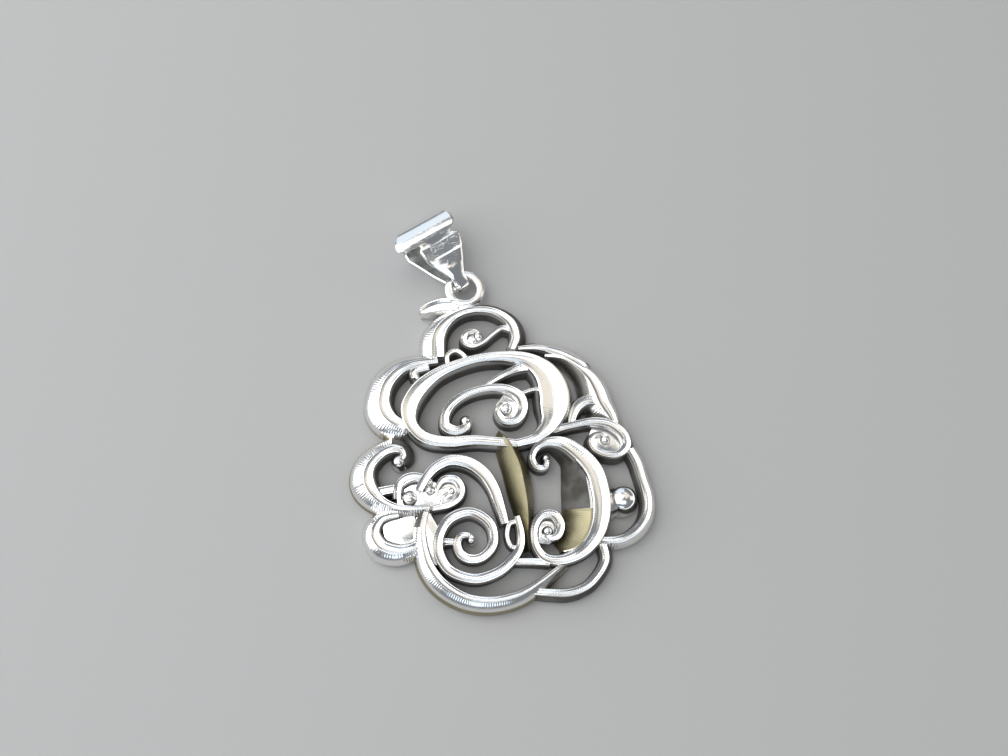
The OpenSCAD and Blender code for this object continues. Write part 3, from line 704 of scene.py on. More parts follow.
MIDDLE_SCROLLS = {
    "oval": Scroll(
        rows(
            (1.9, 1.2, 0.8, 1.9), (0.4, 1.65, 0.95, 1.95), (-1.2, 2.1, 1.0, 2.0), (-3.0, 2.35, 1.05, 2.0),
            (-4.6, 3.0, 1.15, 2.0), (-5.45, 4.2, 1.15, 2.1), (-5.35, 5.6, 1.6, 2.1), (-4.3, 6.85, 1.55, 2.1),
            (-2.75, 7.7, 1.15, 2.1), (-1.0, 8.1, 0.95, 2.1), (0.8, 8.2, 0.9, 2.1), (2.6, 7.95, 1.05, 2.1),
            (4.15, 7.3, 1.5, 2.1), (5.2, 6.1, 2.4, 2.1), (5.5, 4.6, 3.0, 2.1), (5.2, 3.15, 2.85, 2.1),
            (4.5, 2.0, 1.7, 2.0), (3.3, 1.3, 0.95, 2.0), (1.9, 1.2, 0.8, 1.9),
        ),
        0.12, 0.15,
    ),
    "inner_scroll": Scroll(
        rows(
            (-1.4, 3.85, 0.45, 1.5), (-1.5, 3.3, 0.8, 1.6), (-2.3, 3.15, 1.0, 1.7), (-3.0, 3.65, 1.05, 1.7),
            (-2.85, 4.55, 0.95, 1.8), (-2.0, 5.35, 0.85, 1.8), (-0.7, 5.8, 0.8, 1.8), (0.8, 5.85, 0.8, 1.8),
            (2.1, 5.5, 0.9, 1.8), (2.95, 4.7, 1.0, 1.8), (2.95, 3.7, 1.0, 1.8), (2.25, 3.0, 0.9, 1.7),
            (1.35, 3.15, 0.8, 1.7), (1.05, 3.9, 0.7, 1.6), (1.55, 4.45, 0.55, 1.5), (2.0, 4.2, 0.4, 1.4),
        ),
        0.15, 0.15,
    ),
    "inner_branch": Scroll(
        rows(
            (4.5, 6.9, 1.3, 1.9), (3.3, 6.9, 1.0, 1.8), (2.1, 6.65, 0.75, 1.8), (0.9, 6.25, 0.5, 1.7),
            (0.1, 6.0, 0.35, 1.7),
        )
    ),
    "inner_link": Scroll(rows((2.9, 4.9, 0.45, 1.6), (3.9, 5.05, 0.45, 1.6), (5.0, 5.0, 0.5, 1.6))),
    "leaf": Scroll(
        rows(
            (0.75, 2.45, 0.35, 1.7), (0.95, 1.7, 1.25, 2.1), (1.2, 0.7, 1.8, 2.15), (1.4, -0.6, 2.0, 2.1),
            (1.4, -2.0, 1.95, 2.05), (1.35, -3.3, 1.7, 2.0), (1.2, -4.5, 1.25, 1.9), (1.0, -5.6, 0.8, 1.6),
            (0.95, -6.6, 0.5, 1.4),
        ),
        0.34, 0.64, 0.0, cuts=Cuts.LEFT, steps=16, span=(1, 6), bright=True, painted_warm=True,
    ),
    "right_scroll": Scroll(
        rows(
            (3.8, -0.45, 0.45, 1.7), (3.55, -1.0, 0.55, 1.8), (2.95, -0.85, 0.6, 1.8), (2.75, -0.15, 0.65, 1.9),
            (3.2, 0.5, 0.75, 2.0), (4.2, 0.75, 0.95, 2.0), (5.3, 0.35, 1.35, 2.1), (6.3, -0.75, 1.7, 2.1),
            (6.95, -2.1, 1.9, 2.1), (7.0, -3.6, 1.95, 2.1), (6.75, -5.0, 1.85, 2.1), (6.15, -6.3, 1.7, 2.1),
            (5.2, -7.25, 1.4, 2.0), (4.1, -7.75, 1.1, 2.0), (2.9, -7.8, 0.95, 1.9), (1.9, -7.35, 0.85, 1.9),
            (1.5, -6.35, 0.75, 1.8), (1.7, -5.2, 0.75, 1.8), (2.4, -4.45, 0.85, 1.8), (3.3, -4.55, 0.9, 1.8),
            (3.6, -5.35, 0.9, 1.8), (3.25, -6.05, 0.75, 1.7), (2.6, -6.1, 0.55, 1.6), (2.4, -5.6, 0.45, 1.5),
        ),
        0.15, 0.18, cuts=Cuts.RIGHT, steps=16, span=(7, 12),
    ),
    "left_arch": Scroll(
        rows(
            (-0.3, -4.4, 0.8, 1.7), (-0.4, -3.0, 1.0, 1.8), (-0.55, -1.7, 1.1, 1.8), (-1.0, -0.5, 1.2, 1.8),
            (-1.9, 0.5, 1.2, 1.8), (-3.1, 1.0, 1.1, 1.8), (-4.3, 0.8, 1.0, 1.8), (-5.2, 0.2, 0.9, 1.7),
            (-5.9, -0.6, 0.8, 1.6),
        ),
        0.15, 0.15,
    ),
    "foot_band": Scroll(rows((-0.2, -7.2, 0.7, 1.6), (0.9, -7.45, 0.75, 1.7), (2.2, -7.8, 0.8, 1.8))),
    "foot_loop": Scroll(
        rows(
            (0.5, -6.3, 0.45, 1.6), (-0.2, -6.1, 0.45, 1.6), (-0.35, -5.3, 0.45, 1.6), (0.0, -4.5, 0.5, 1.6),
            (0.6, -4.4, 0.5, 1.6),
        )
    ),
    "curl_hook": Scroll(
        rows(
            (-4.75, -1.2, 0.35, 1.3), (-4.5, -0.6, 0.55, 1.4), (-3.9, -0.2, 0.75, 1.5), (-3.15, -0.4, 0.85, 1.5),
            (-2.85, -1.1, 0.85, 1.5), (-3.2, -1.8, 0.8, 1.5), (-4.1, -2.15, 0.7, 1.4), (-5.2, -2.15, 0.6, 1.4),
        )
    ),
    "curl_tongue": Scroll(rows((-4.6, -1.95, 0.45, 1.2), (-4.3, -1.4, 0.45, 1.3), (-3.7, -1.15, 0.4, 1.2))),
    "curl_arch": Scroll(
        rows(
            (-7.6, -0.9, 0.9, 1.4), (-7.3, 0.05, 1.0, 1.5), (-6.5, 0.45, 1.1, 1.6), (-5.65, 0.3, 1.0, 1.6),
            (-5.0, -0.3, 0.9, 1.5),
        )
    ),
    "curl_post": Scroll(rows((-7.2, -0.1, 1.0, 1.4), (-8.8, -0.05, 1.0, 1.3))),
    "volute": Scroll(
        turned(
            (-3.0, -5.25),
            (18, 3.85, 0.55, 1.6), (-1, 3.65, 0.7, 1.8), (-18, 3.5, 0.8, 1.9), (-38, 3.1, 0.9, 1.9),
            (-65, 2.72, 0.95, 1.9), (-100, 2.5, 0.95, 1.9), (-145, 2.45, 0.95, 1.9), (-190, 2.4, 0.95, 1.9),
            (-235, 2.35, 0.95, 1.9), (-280, 2.25, 0.95, 1.9), (-325, 1.95, 0.95, 1.8), (-370, 1.6, 0.9, 1.7),
            (-415, 1.27, 0.85, 1.6), (-460, 1.1, 0.85, 1.5), (-505, 1.05, 0.85, 1.4), (-550, 1.02, 0.8, 1.4),
            (-590, 0.95, 0.65, 1.3), (-625, 0.65, 0.5, 1.3), (-665, 0.35, 0.4, 1.2),
        ),
        0.15, 0.15,
    ),
    "volute_link": Scroll(rows((-5.3, -4.75, 0.8, 1.2), (-4.7, -4.7, 0.8, 1.3), (-4.0, -4.9, 0.7, 1.3))),
    "slope": Scroll(
        rows(
            (4.5, 0.45, 0.6, 1.6), (5.45, -0.7, 1.3, 1.8), (5.6, -2.0, 1.9, 1.9), (5.45, -3.3, 2.2, 1.9),
            (5.25, -4.5, 2.3, 1.9), (4.85, -5.6, 2.2, 1.9), (4.1, -6.5, 1.8, 1.8), (3.2, -6.9, 0.95, 1.6),
        ),
        0.04, 0.86, 0.0, cuts=Cuts.RIGHT, steps=16, span=(4, 7), painted_warm=True,
    ),
}


class Floor(NamedTuple):
    """A low floor that closes an opening: the height of its top, and its outline."""

    height: float
    outline: tuple[tuple[float, float], ...]


FLOORS = (
    Floor(1.05, ((-9.0, -2.3), (-6.6, -2.3), (-6.5, -4.4), (-7.6, -4.5), (-9.0, -3.8))),
    Floor(1.15, ((-6.5, -2.5), (-5.5, -2.3), (-5.05, -3.7), (-5.1, -5.3), (-5.75, -6.2), (-6.5, -5.4))),
    Floor(
        0.95,
        (
            (-7.7, -1.3), (-7.3, 0.1), (-6.3, 0.5), (-5.3, 0.2), (-4.4, -0.4), (-3.3, -0.4), (-2.9, -1.3),
            (-3.4, -2.1), (-5.4, -2.3), (-6.9, -1.9),
        ),
    ),
    Floor(1.1, ((1.5, -5.2), (2.2, -4.3), (3.3, -4.4), (3.8, -5.3), (3.4, -6.2), (2.5, -6.5), (1.6, -6.2))),
    Floor(1.05, ((7.2, 0.4), (7.9, 1.4), (9.0, 1.1), (9.8, 0.1), (9.6, -0.9), (8.3, -1.1), (7.4, -0.4))),
    Floor(1.15, ((1.0, 3.6), (2.1, 2.9), (3.1, 3.8), (2.8, 4.8), (1.8, 5.2), (1.1, 4.6))),
    Floor(1.05, ((-0.4, 10.0), (0.2, 10.8), (1.0, 10.7), (1.3, 9.9), (0.4, 9.5))),
)


class RoundEnd(NamedTuple):
    """A small turned end: its place, the radius of its foot, the radius of its crown, and its height."""

    x: float
    y: float
    foot: float
    crown: float
    height: float


ROUND_ENDS = tuple(
    RoundEnd(*values)
    for values in (
        (0.95, 10.2, 0.5, 0.3, 1.45), (-4.35, 8.0, 0.42, 0.26, 1.4), (-1.45, 3.8, 0.55, 0.34, 1.6),
        (1.75, 4.05, 0.66, 0.42, 1.55), (8.5, 0.1, 0.55, 0.34, 1.5), (-2.95, -5.0, 0.38, 0.22, 1.3),
        (2.6, -5.6, 0.55, 0.34, 1.6), (3.75, -0.35, 0.42, 0.26, 1.8), (-6.95, 1.85, 0.66, 0.42, 1.4),
        (-6.7, -1.0, 0.75, 0.5, 1.4), (-3.6, -1.15, 0.34, 0.2, 1.25), (-5.15, -0.75, 0.52, 0.34, 1.35),
        (8.65, -4.5, 1.25, 0.8, 1.75),
    )
)


# Sub-assemblies


@dataclass
class Casting:
    """The cast body: every scroll and round end, with the ring and its solder, as one solid.

    Args:
        ring_at: Middle of the ring, and its height above the back.
        ring_radius: Radius of the ring's middle line.
        wire_radius: Radius of the ring's wire.
        solder_at: Middle of the solder below the ring.
        solder_size: Half lengths of the solder.
        floor_sink: How far the low floors and their stock reach below the back, to be ground off.
        stone: Sizes of the block that grinds the back.
        stone_cuts: Cuts across the block's face.
    """

    ring_at: tuple[float, float, float] = RING_AT
    ring_radius: float = RING_RADIUS
    wire_radius: float = 0.37
    solder_at: tuple[float, float, float] = (0.75, 12.72, 0.35)
    solder_size: tuple[float, float, float] = (1.55, 0.6, 1.1)
    floor_sink: float = 0.1
    stone: tuple[float, float, float] = (26.0, 38.0, 4.0)
    stone_cuts: int = 79

    # Reach that the map gives to a round end: on the crown, by its rim.
    DOME_REACH = 0.9
    # Edges of the casting sharper than this many degrees stay crisp.
    CRISP_ABOVE = 34

    def turned_end(self) -> bpy.types.Object:
        """Turn the master of the round ends: foot radius 1 and height 1, with a domed top."""
        piece = Bench.start("round_end", bpy.ops.mesh.primitive_circle_add, vertices=28, fill_type="NGON")
        Bench.edit(piece)
        bpy.ops.transform.translate(value=(0, 0, -0.05))
        for rise, growth in ((0.32, 1.0), (0.1, 0.96), (0.3, 0.86), (0.2, 0.86), (0.07, 0.9), (0.05, 0.87)):
            bpy.ops.mesh.extrude_region_move(TRANSFORM_OT_translate={"value": (0, 0, rise)})
            bpy.ops.transform.resize(value=(growth, growth, 1))
        for width, rise in ((0.12, 0.05), (0.16, 0.04), (0.2, 0.02)):
            bpy.ops.mesh.inset(thickness=width, depth=rise)
        bpy.ops.mesh.select_all(action="SELECT")
        bpy.ops.mesh.normals_make_consistent(inside=False)
        Bench.leave()
        layer = piece.data.uv_layers.new(name=WAY_MAP)
        for loop in layer.data:
            loop.uv = (0.0, self.DOME_REACH)
        return piece

    def round_ends(self) -> list[bpy.types.Object]:
        """Copy the turned master to the place and size of every round end."""
        master = self.turned_end()
        made = []
        for number, end in enumerate(ROUND_ENDS, 1):
            twin = Bench.copy(master, f"round_end_{number}")
            Bench.pick(twin)
            twin.location = (end.x, end.y, 0)
            twin.scale = (end.foot, end.foot, end.height)
            bpy.ops.object.transform_apply(location=True, rotation=True, scale=True)
            made.append(twin)
        bpy.data.objects.remove(master)
        return made

    def floors(self) -> list[bpy.types.Object]:
        """Cast the low floors, each a little dished."""
        made = []
        for number, floor in enumerate(FLOORS, 1):
            piece = Bench.start(
                f"low_floor_{number}",
                bpy.ops.mesh.primitive_circle_add,
                vertices=len(floor.outline),
                fill_type="NGON",
            )
            Bench.edit(piece)
            Bench.shape_outline(piece, [Vector((x, y, -self.floor_sink)) for x, y in floor.outline])
            rise = floor.height + self.floor_sink
            bpy.ops.mesh.extrude_region_move(TRANSFORM_OT_translate={"value": (0, 0, rise)})
            for width, drop in ((0.3, 0.03), (0.2, 0.05)):
                bpy.ops.mesh.inset(thickness=width, depth=-drop)
            bpy.ops.mesh.select_all(action="SELECT")
            bpy.ops.mesh.normals_make_consistent(inside=False)
            Bench.leave()
            self.plain_map(piece)
            made.append(piece)
        return made

    def ring(self) -> bpy.types.Object:
        """Wind the ring, with the wire a little flatter where it was filed at the front."""
        piece = Bench.start(
            "ring",
            bpy.ops.mesh.primitive_torus_add,
            major_segments=88,
            minor_segments=28,
            major_radius=self.ring_radius,
            minor_radius=self.wire_radius,
            location=self.ring_at,
        )
        Bench.edit(piece)
        top = self.ring_at[2] + 0.8 * self.wire_radius
        Bench.choose(piece, lambda co: co.z > top)
        bpy.ops.transform.resize(value=(1, 1, 0.6), center_override=(0, 0, top))
        Bench.leave()
        self.plain_map(piece)
        return piece

    def solder(self) -> bpy.types.Object:
        """Flow the solder between the ring and the top loop: a flattened drop, drawn out to both sides."""
        piece = Bench.start(
            "solder",
            bpy.ops.mesh.primitive_uv_sphere_add,
            segments=40,
            ring_count=20,
            radius=1,
            location=self.solder_at,
        )
        Bench.edit(piece)
        bpy.ops.transform.resize(value=self.solder_size, center_override=self.solder_at)
        Bench.choose(piece, lambda co: abs(co.x - self.solder_at[0]) > 0.6 * self.solder_size[0])
        bpy.ops.transform.resize(value=(1, 0.85, 0.8), center_override=(*self.solder_at[:2], 0))
        Bench.leave()
        self.plain_map(piece)
        return piece

    @staticmethod
    def plain_map(piece: bpy.types.Object) -> None:
        """Give a piece a map that has no cut lines anywhere."""
        layer = piece.data.uv_layers[0] if piece.data.uv_layers else piece.data.uv_layers.new(name=WAY_MAP)
        layer.name = WAY_MAP
        for loop in layer.data:
            loop.uv = (0.0, 0.0)

    def grinding_stone(self) -> bpy.types.Object:
        """Shape the block that grinds the back, its face divided so that no ground face has a hole in it."""
        width, length, depth = self.stone
        middle = Vector((MIDDLE.x, MIDDLE.y, -depth / 2))
        piece = Bench.start("grinding_stone", bpy.ops.mesh.primitive_cube_add, size=1, location=middle)
        Bench.edit(piece)
        bpy.ops.transform.resize(value=self.stone, center_override=middle)
        Bench.choose_faces(piece, lambda face: face.normal.z > 0.5)
        bpy.ops.mesh.subdivide(number_cuts=self.stone_cuts)
        Bench.leave()
        self.plain_map(piece)
        return piece

    def build(self) -> bpy.types.Object:
        """Make every part, fuse them all, and grind the back flat.

        Returns:
            The finished casting.
        """
        parts = [scroll.bar(name) for table in (TOP, OUTER, MIDDLE_SCROLLS) for name, scroll in table.items()]
        parts += self.round_ends() + self.floors()
        parts += [self.solder(), self.ring()]
        body = Bench.combine(Bench.fuse(parts), self.grinding_stone(), "DIFFERENCE")
        body.name = body.data.name = "silver_scrollwork"
        Bench.make_sound(body, DOUBLES)
        Bench.to_frame(body)
        Bench.smooth(body, self.CRISP_ABOVE)
        return body


class Fold(NamedTuple):
    """One row round the bail.

    Args:
        place: 0 to 1 goes round the narrow bend from front to back, 1 to 2 up the back leaf, 2 to 3 round the
            wide bend from back to front, and 3 to 4 down the front leaf.
        left: Spread to the left, as a share of the top width.
        right: Spread to the right, as a share of the top width.
        steps: Sections to the next row.
        proud: How far the middle of the outside stands out between the edges, or in where it is negative.
    """

    place: float
    left: float
    right: float
    steps: int
    proud: float = 0.0


class Section(NamedTuple):
    """One section of the bail's sheet: its middle in the side view, its two spreads, and how proud it is."""

    middle: Vector
    left: float
    right: float
    proud: float


@dataclass
class Bail:
    """The folded sheet that hangs in the ring.

    Args:
        sheet: Thickness of the sheet.
        top_width: Width across the flare.
        chain_way: Depth of the way for the chain inside the wide bend.
        reach: Distance between the centres of the two bends.
        turn: Turn to the left of the pendant's own axis, in degrees.
        tip_in_ring: How far the narrow bend's middle stands inside the ring's middle line.
        tip_drop: How much less than the ring's height the narrow bend's outside radius is.
        front_bow: How far the front bows out between the bends.
        edge: Rounding of the sheet's edges.
    """

    ring_at: tuple[float, float, float] = RING_AT
    ring_radius: float = RING_RADIUS
    sheet: float = 0.42
    top_width: float = 5.7
    chain_way: float = 2.8
    reach: float = 3.8
    turn: float = 20.0
    tip_in_ring: float = 0.2
    tip_drop: float = 0.1
    front_bow: float = 0.13
    edge: float = 0.17
    folds: tuple[Fold, ...] = (
        Fold(0, 0.1, 0.1, 10, 0.1), Fold(1, 0.11, 0.1, 3, 0.1), Fold(1.4, 0.25, 0.1, 3),
        Fold(1.8, 0.36, 0.13, 2), Fold(2, 0.42, 0.2, 8), Fold(2.25, 0.42, 0.22, 8),
        Fold(2.5, 0.36, 0.22, 4), Fold(2.6, 0.38, 0.28, 4),
        Fold(2.73, 0.46, 0.335, 3), Fold(2.82, 0.54, 0.355, 3), Fold(2.91, 0.58, 0.35, 1),
        Fold(2.95, 0.57, 0.32, 1), Fold(2.99, 0.42, 0.25, 1), Fold(3.03, 0.27, 0.22, 1, -0.1),
        Fold(3.07, 0.27, 0.25, 1, -0.24), Fold(3.13, 0.31, 0.33, 3, -0.3), Fold(3.4, 0.29, 0.27, 1, -0.22),
        Fold(3.44, 0.28, 0.25, 2, 0.06), Fold(3.65, 0.2, 0.19, 1, 0.02), Fold(3.7, 0.18, 0.17, 2, 0.12),
        Fold(3.9, 0.11, 0.11, 1, 0.12), Fold(4, 0.1, 0.1, 0, 0.1),
    )

    # Shares of the width, from the left edge, at which the outside has points between its edges, each with its
    # share of the section's rise.
    BETWEEN = {0.25: 1.0, 0.5: 0.72, 0.75: 0.36}
    # Edges of the bail sharper than this many degrees stay crisp.
    CRISP_ABOVE = 17

    def side_view(self, place: float) -> Vector:
        """Find the sheet's middle in the side view of the bail.

        Args:
            place: Place round the bail, as in Fold.

        Returns:
            The place as (0, along, up), from the centre of the narrow bend.
        """
        tip = self.ring_at[2] - self.tip_drop - self.sheet / 2
        wide = (self.chain_way + self.sheet) / 2
        lean = math.asin((wide - tip) / self.reach)
        out = Vector((0, -math.sin(lean), math.cos(lean)))
        back = Vector((0, out.y, -out.z))
        far = Vector((0, self.reach, 0))
        if place < 1:
            angle = math.pi / 2 + lean + place * (math.pi - 2 * lean)
            return tip * Vector((0, math.cos(angle), math.sin(angle)))
        if place < 2:
            return (tip * back).lerp(far + wide * back, place - 1)
        if place < 3:
            angle = (place - 2.5) * (math.pi + 2 * lean)
            return far + wide * Vector((0, math.cos(angle), math.sin(angle)))
        bow = Vector((0, 0, self.front_bow * math.sin(math.pi * (place - 3))))
        return (far + wide * out).lerp(tip * out, place - 3) + bow

    def sections(self) -> list[Section]:
        """List the sheet's sections, from the rows and between them."""
        found = []
        for fold, after in zip(self.folds, self.folds[1:]):
            for step in range(fold.steps):
                t = step / fold.steps
                place = fold.place + (after.place - fold.place) * t
                left = (fold.left + (after.left - fold.left) * t) * self.top_width
                right = (fold.right + (after.right - fold.right) * t) * self.top_width
                proud = fold.proud + (after.proud - fold.proud) * t
                found.append(Section(self.side_view(place), left, right, proud))
        return found

    def outline(self, first: Section) -> list[Vector]:
        """Draw the first section, with rounded edges and with points between them on the outside.

        Args:
            first: The section.

        Returns:
            Its corners in order, from the right edge's inside round by the outside to the left edge's inside.
        """
        half, e = self.sheet / 2, self.edge
        inside, outside = ((e, 0), (0.3 * e, 0.3 * e), (0, e)), ((0, e), (0.3 * e, 0.3 * e), (e, 0))
        right = [Vector((first.right - inset, 0, half - drop)) for inset, drop in inside]
        right += [Vector((first.right - inset, 0, drop - half)) for inset, drop in outside]
        left = [Vector((inset - first.left, 0, drop - half)) for inset, drop in inside]
        left += [Vector((inset - first.left, 0, half - drop)) for inset, drop in outside]
        between = [
            Vector((share * (first.left + first.right) - first.left, 0, -half - first.proud * rise))
            for share, rise in reversed(self.BETWEEN.items())
        ]
        return right + between + left

    def build(self) -> bpy.types.Object:
        """Fold the sheet round, close it, and hang it in the ring.

        Returns:
            The finished bail.
        """
        sections = self.sections()
        count = len(sections)
        angles = []
        for i in range(count):
            way = sections[(i + 1) % count].middle - sections[i - 1].middle
            angles.append(math.atan2(way.z, way.y))
        corners = self.outline(sections[0])
        piece = Bench.start(
            "silver_bail",
            bpy.ops.mesh.primitive_circle_add,
            vertices=len(corners),
            fill_type="NGON",
            rotation=(math.pi / 2, 0, 0),
        )
        Bench.edit(piece)
        Bench.shape_outline(piece, corners)
        self.turn_section(angles[0], Vector())
        bpy.ops.transform.translate(value=sections[0].middle)
        for i in range(1, count + 1):
            here, before = sections[i % count], sections[i - 1]
            bpy.ops.mesh.extrude_region_move(TRANSFORM_OT_translate={"value": here.middle - before.middle})
            bend = angles[i % count] - angles[i - 1]
            self.turn_section(math.atan2(math.sin(bend), math.cos(bend)), here.middle)
            angle = angles[i % count]
            self.spread(piece, here, before, Vector((0, math.sin(angle), -math.cos(angle))))
        self.close(piece)
        Bench.leave()
        self.hang(piece)
        return piece

    @staticmethod
    def turn_section(angle: float, centre: Vector) -> None:
        """Turn what is selected about a line across the bail.

        Args:
            angle: Turn from along to up, in radians.
            centre: A point on the line.
        """
        bpy.ops.transform.rotate(value=-angle, orient_axis="X", center_override=centre)

    def spread(self, piece: bpy.types.Object, here: Section, before: Section, outwards: Vector) -> None:
        """Give the newest section its width, and lift or press in its outside between the edges.

        Args:
            piece: The strip, in edit mode, with the newest section selected.
            here: The newest section.
            before: The section before it.
            outwards: Direction from the sheet's middle to its outside.
        """
        cap = [v for v in bmesh.from_edit_mesh(piece.data).verts if v.select]
        width = before.left + before.right
        shares = {}
        for vertex in cap:
            share = (vertex.co.x + before.left) / width
            between = [at for at in self.BETWEEN if abs(share - at) < 0.02]
            shares[vertex] = between[0] if between else float(share > 0.5)
        for share in (0.0, *self.BETWEEN, 1.0):
            for vertex in cap:
                vertex.select = shares[vertex] == share
            aside = share * (here.right - before.right) - (1 - share) * (here.left - before.left)
            lift = (here.proud - before.proud) * self.BETWEEN.get(share, 0.0)
            bpy.ops.transform.translate(value=Vector((aside, 0, 0)) + lift * outwards)
        mesh = bmesh.from_edit_mesh(piece.data)
        mesh.select_mode = {"VERT"}
        for vertex in cap:
            vertex.select = True
        mesh.select_flush_mode()

    @staticmethod
    def close(piece: bpy.types.Object) -> None:
        """Take the two end caps off the strip and join its ends."""
        Bench.choose_faces(piece, lambda face: len(face.verts) > 4)
        bpy.ops.mesh.delete(type="ONLY_FACE")
        bpy.ops.mesh.select_mode(type="VERT")
        bpy.ops.mesh.select_all(action="SELECT")
        bpy.ops.mesh.remove_doubles(threshold=0.005)
        bpy.ops.mesh.normals_make_consistent(inside=False)

    def hang(self, piece: bpy.types.Object) -> None:
        """Tilt and turn the bail to the pose in which it lies in the ring."""
        wide = self.chain_way / 2 + self.sheet
        pitch = math.asin((wide - self.ring_at[2]) / self.reach)
        turn = math.radians(self.turn)
        hook = self.ring_radius - self.tip_in_ring
        Bench.pick(piece)
        piece.rotation_euler = (pitch, 0, turn)
        piece.location = (
            self.ring_at[0] - hook * math.sin(turn),
            self.ring_at[1] + hook * math.cos(turn),
            self.ring_at[2],
        )
        bpy.ops.object.transform_apply(location=True, rotation=True, scale=True)
        Bench.to_frame(piece)
        Bench.smooth(piece, self.CRISP_ABOVE)


# Finishes


def put(
    tree: bpy.types.NodeTree,
    kind: str,
    inputs: dict[str | int, object] | None = None,
    **settings: object,
) -> bpy.types.Node:
    """Place a node in a tree.

    Args:
        tree: The node tree.
        kind: The node's type.
        inputs: For each input, a value or the socket that feeds it.
        settings: Options of the node itself.

    Returns:
        The node.
    """
    node = tree.nodes.new(kind)
    for name, value in settings.items():
        setattr(node, name, value)
    for key, value in (inputs or {}).items():
        if isinstance(value, bpy.types.NodeSocket):
            tree.links.new(value, node.inputs[key])
        else:
            node.inputs[key].default_value = value
    return node


def calc(
    tree: bpy.types.NodeTree, operation: str, *values: object, clamp: bool = False
) -> bpy.types.NodeSocket:
    """Place a Math node and return its output."""
    return put(tree, "ShaderNodeMath", dict(enumerate(values)), operation=operation, use_clamp=clamp).outputs[0]


def ramp(
    tree: bpy.types.NodeTree,
    value: object,
    low: object,
    high: object,
    at_low: float = 0.0,
    at_high: float = 1.0,
) -> bpy.types.NodeSocket:
    """Place a smooth Map Range node.

    Args:
        tree: The node tree.
        value: What is mapped.
        low: Value that gives at_low.
        high: Value that gives at_high.
        at_low: Output at and below low.
        at_high: Output at and above high.

    Returns:
        The mapped value.
    """
    inputs = {"Value": value, "From Min": low, "From Max": high, "To Min": at_low, "To Max": at_high}
    return put(tree, "ShaderNodeMapRange", inputs, interpolation_type="SMOOTHSTEP").outputs["Result"]


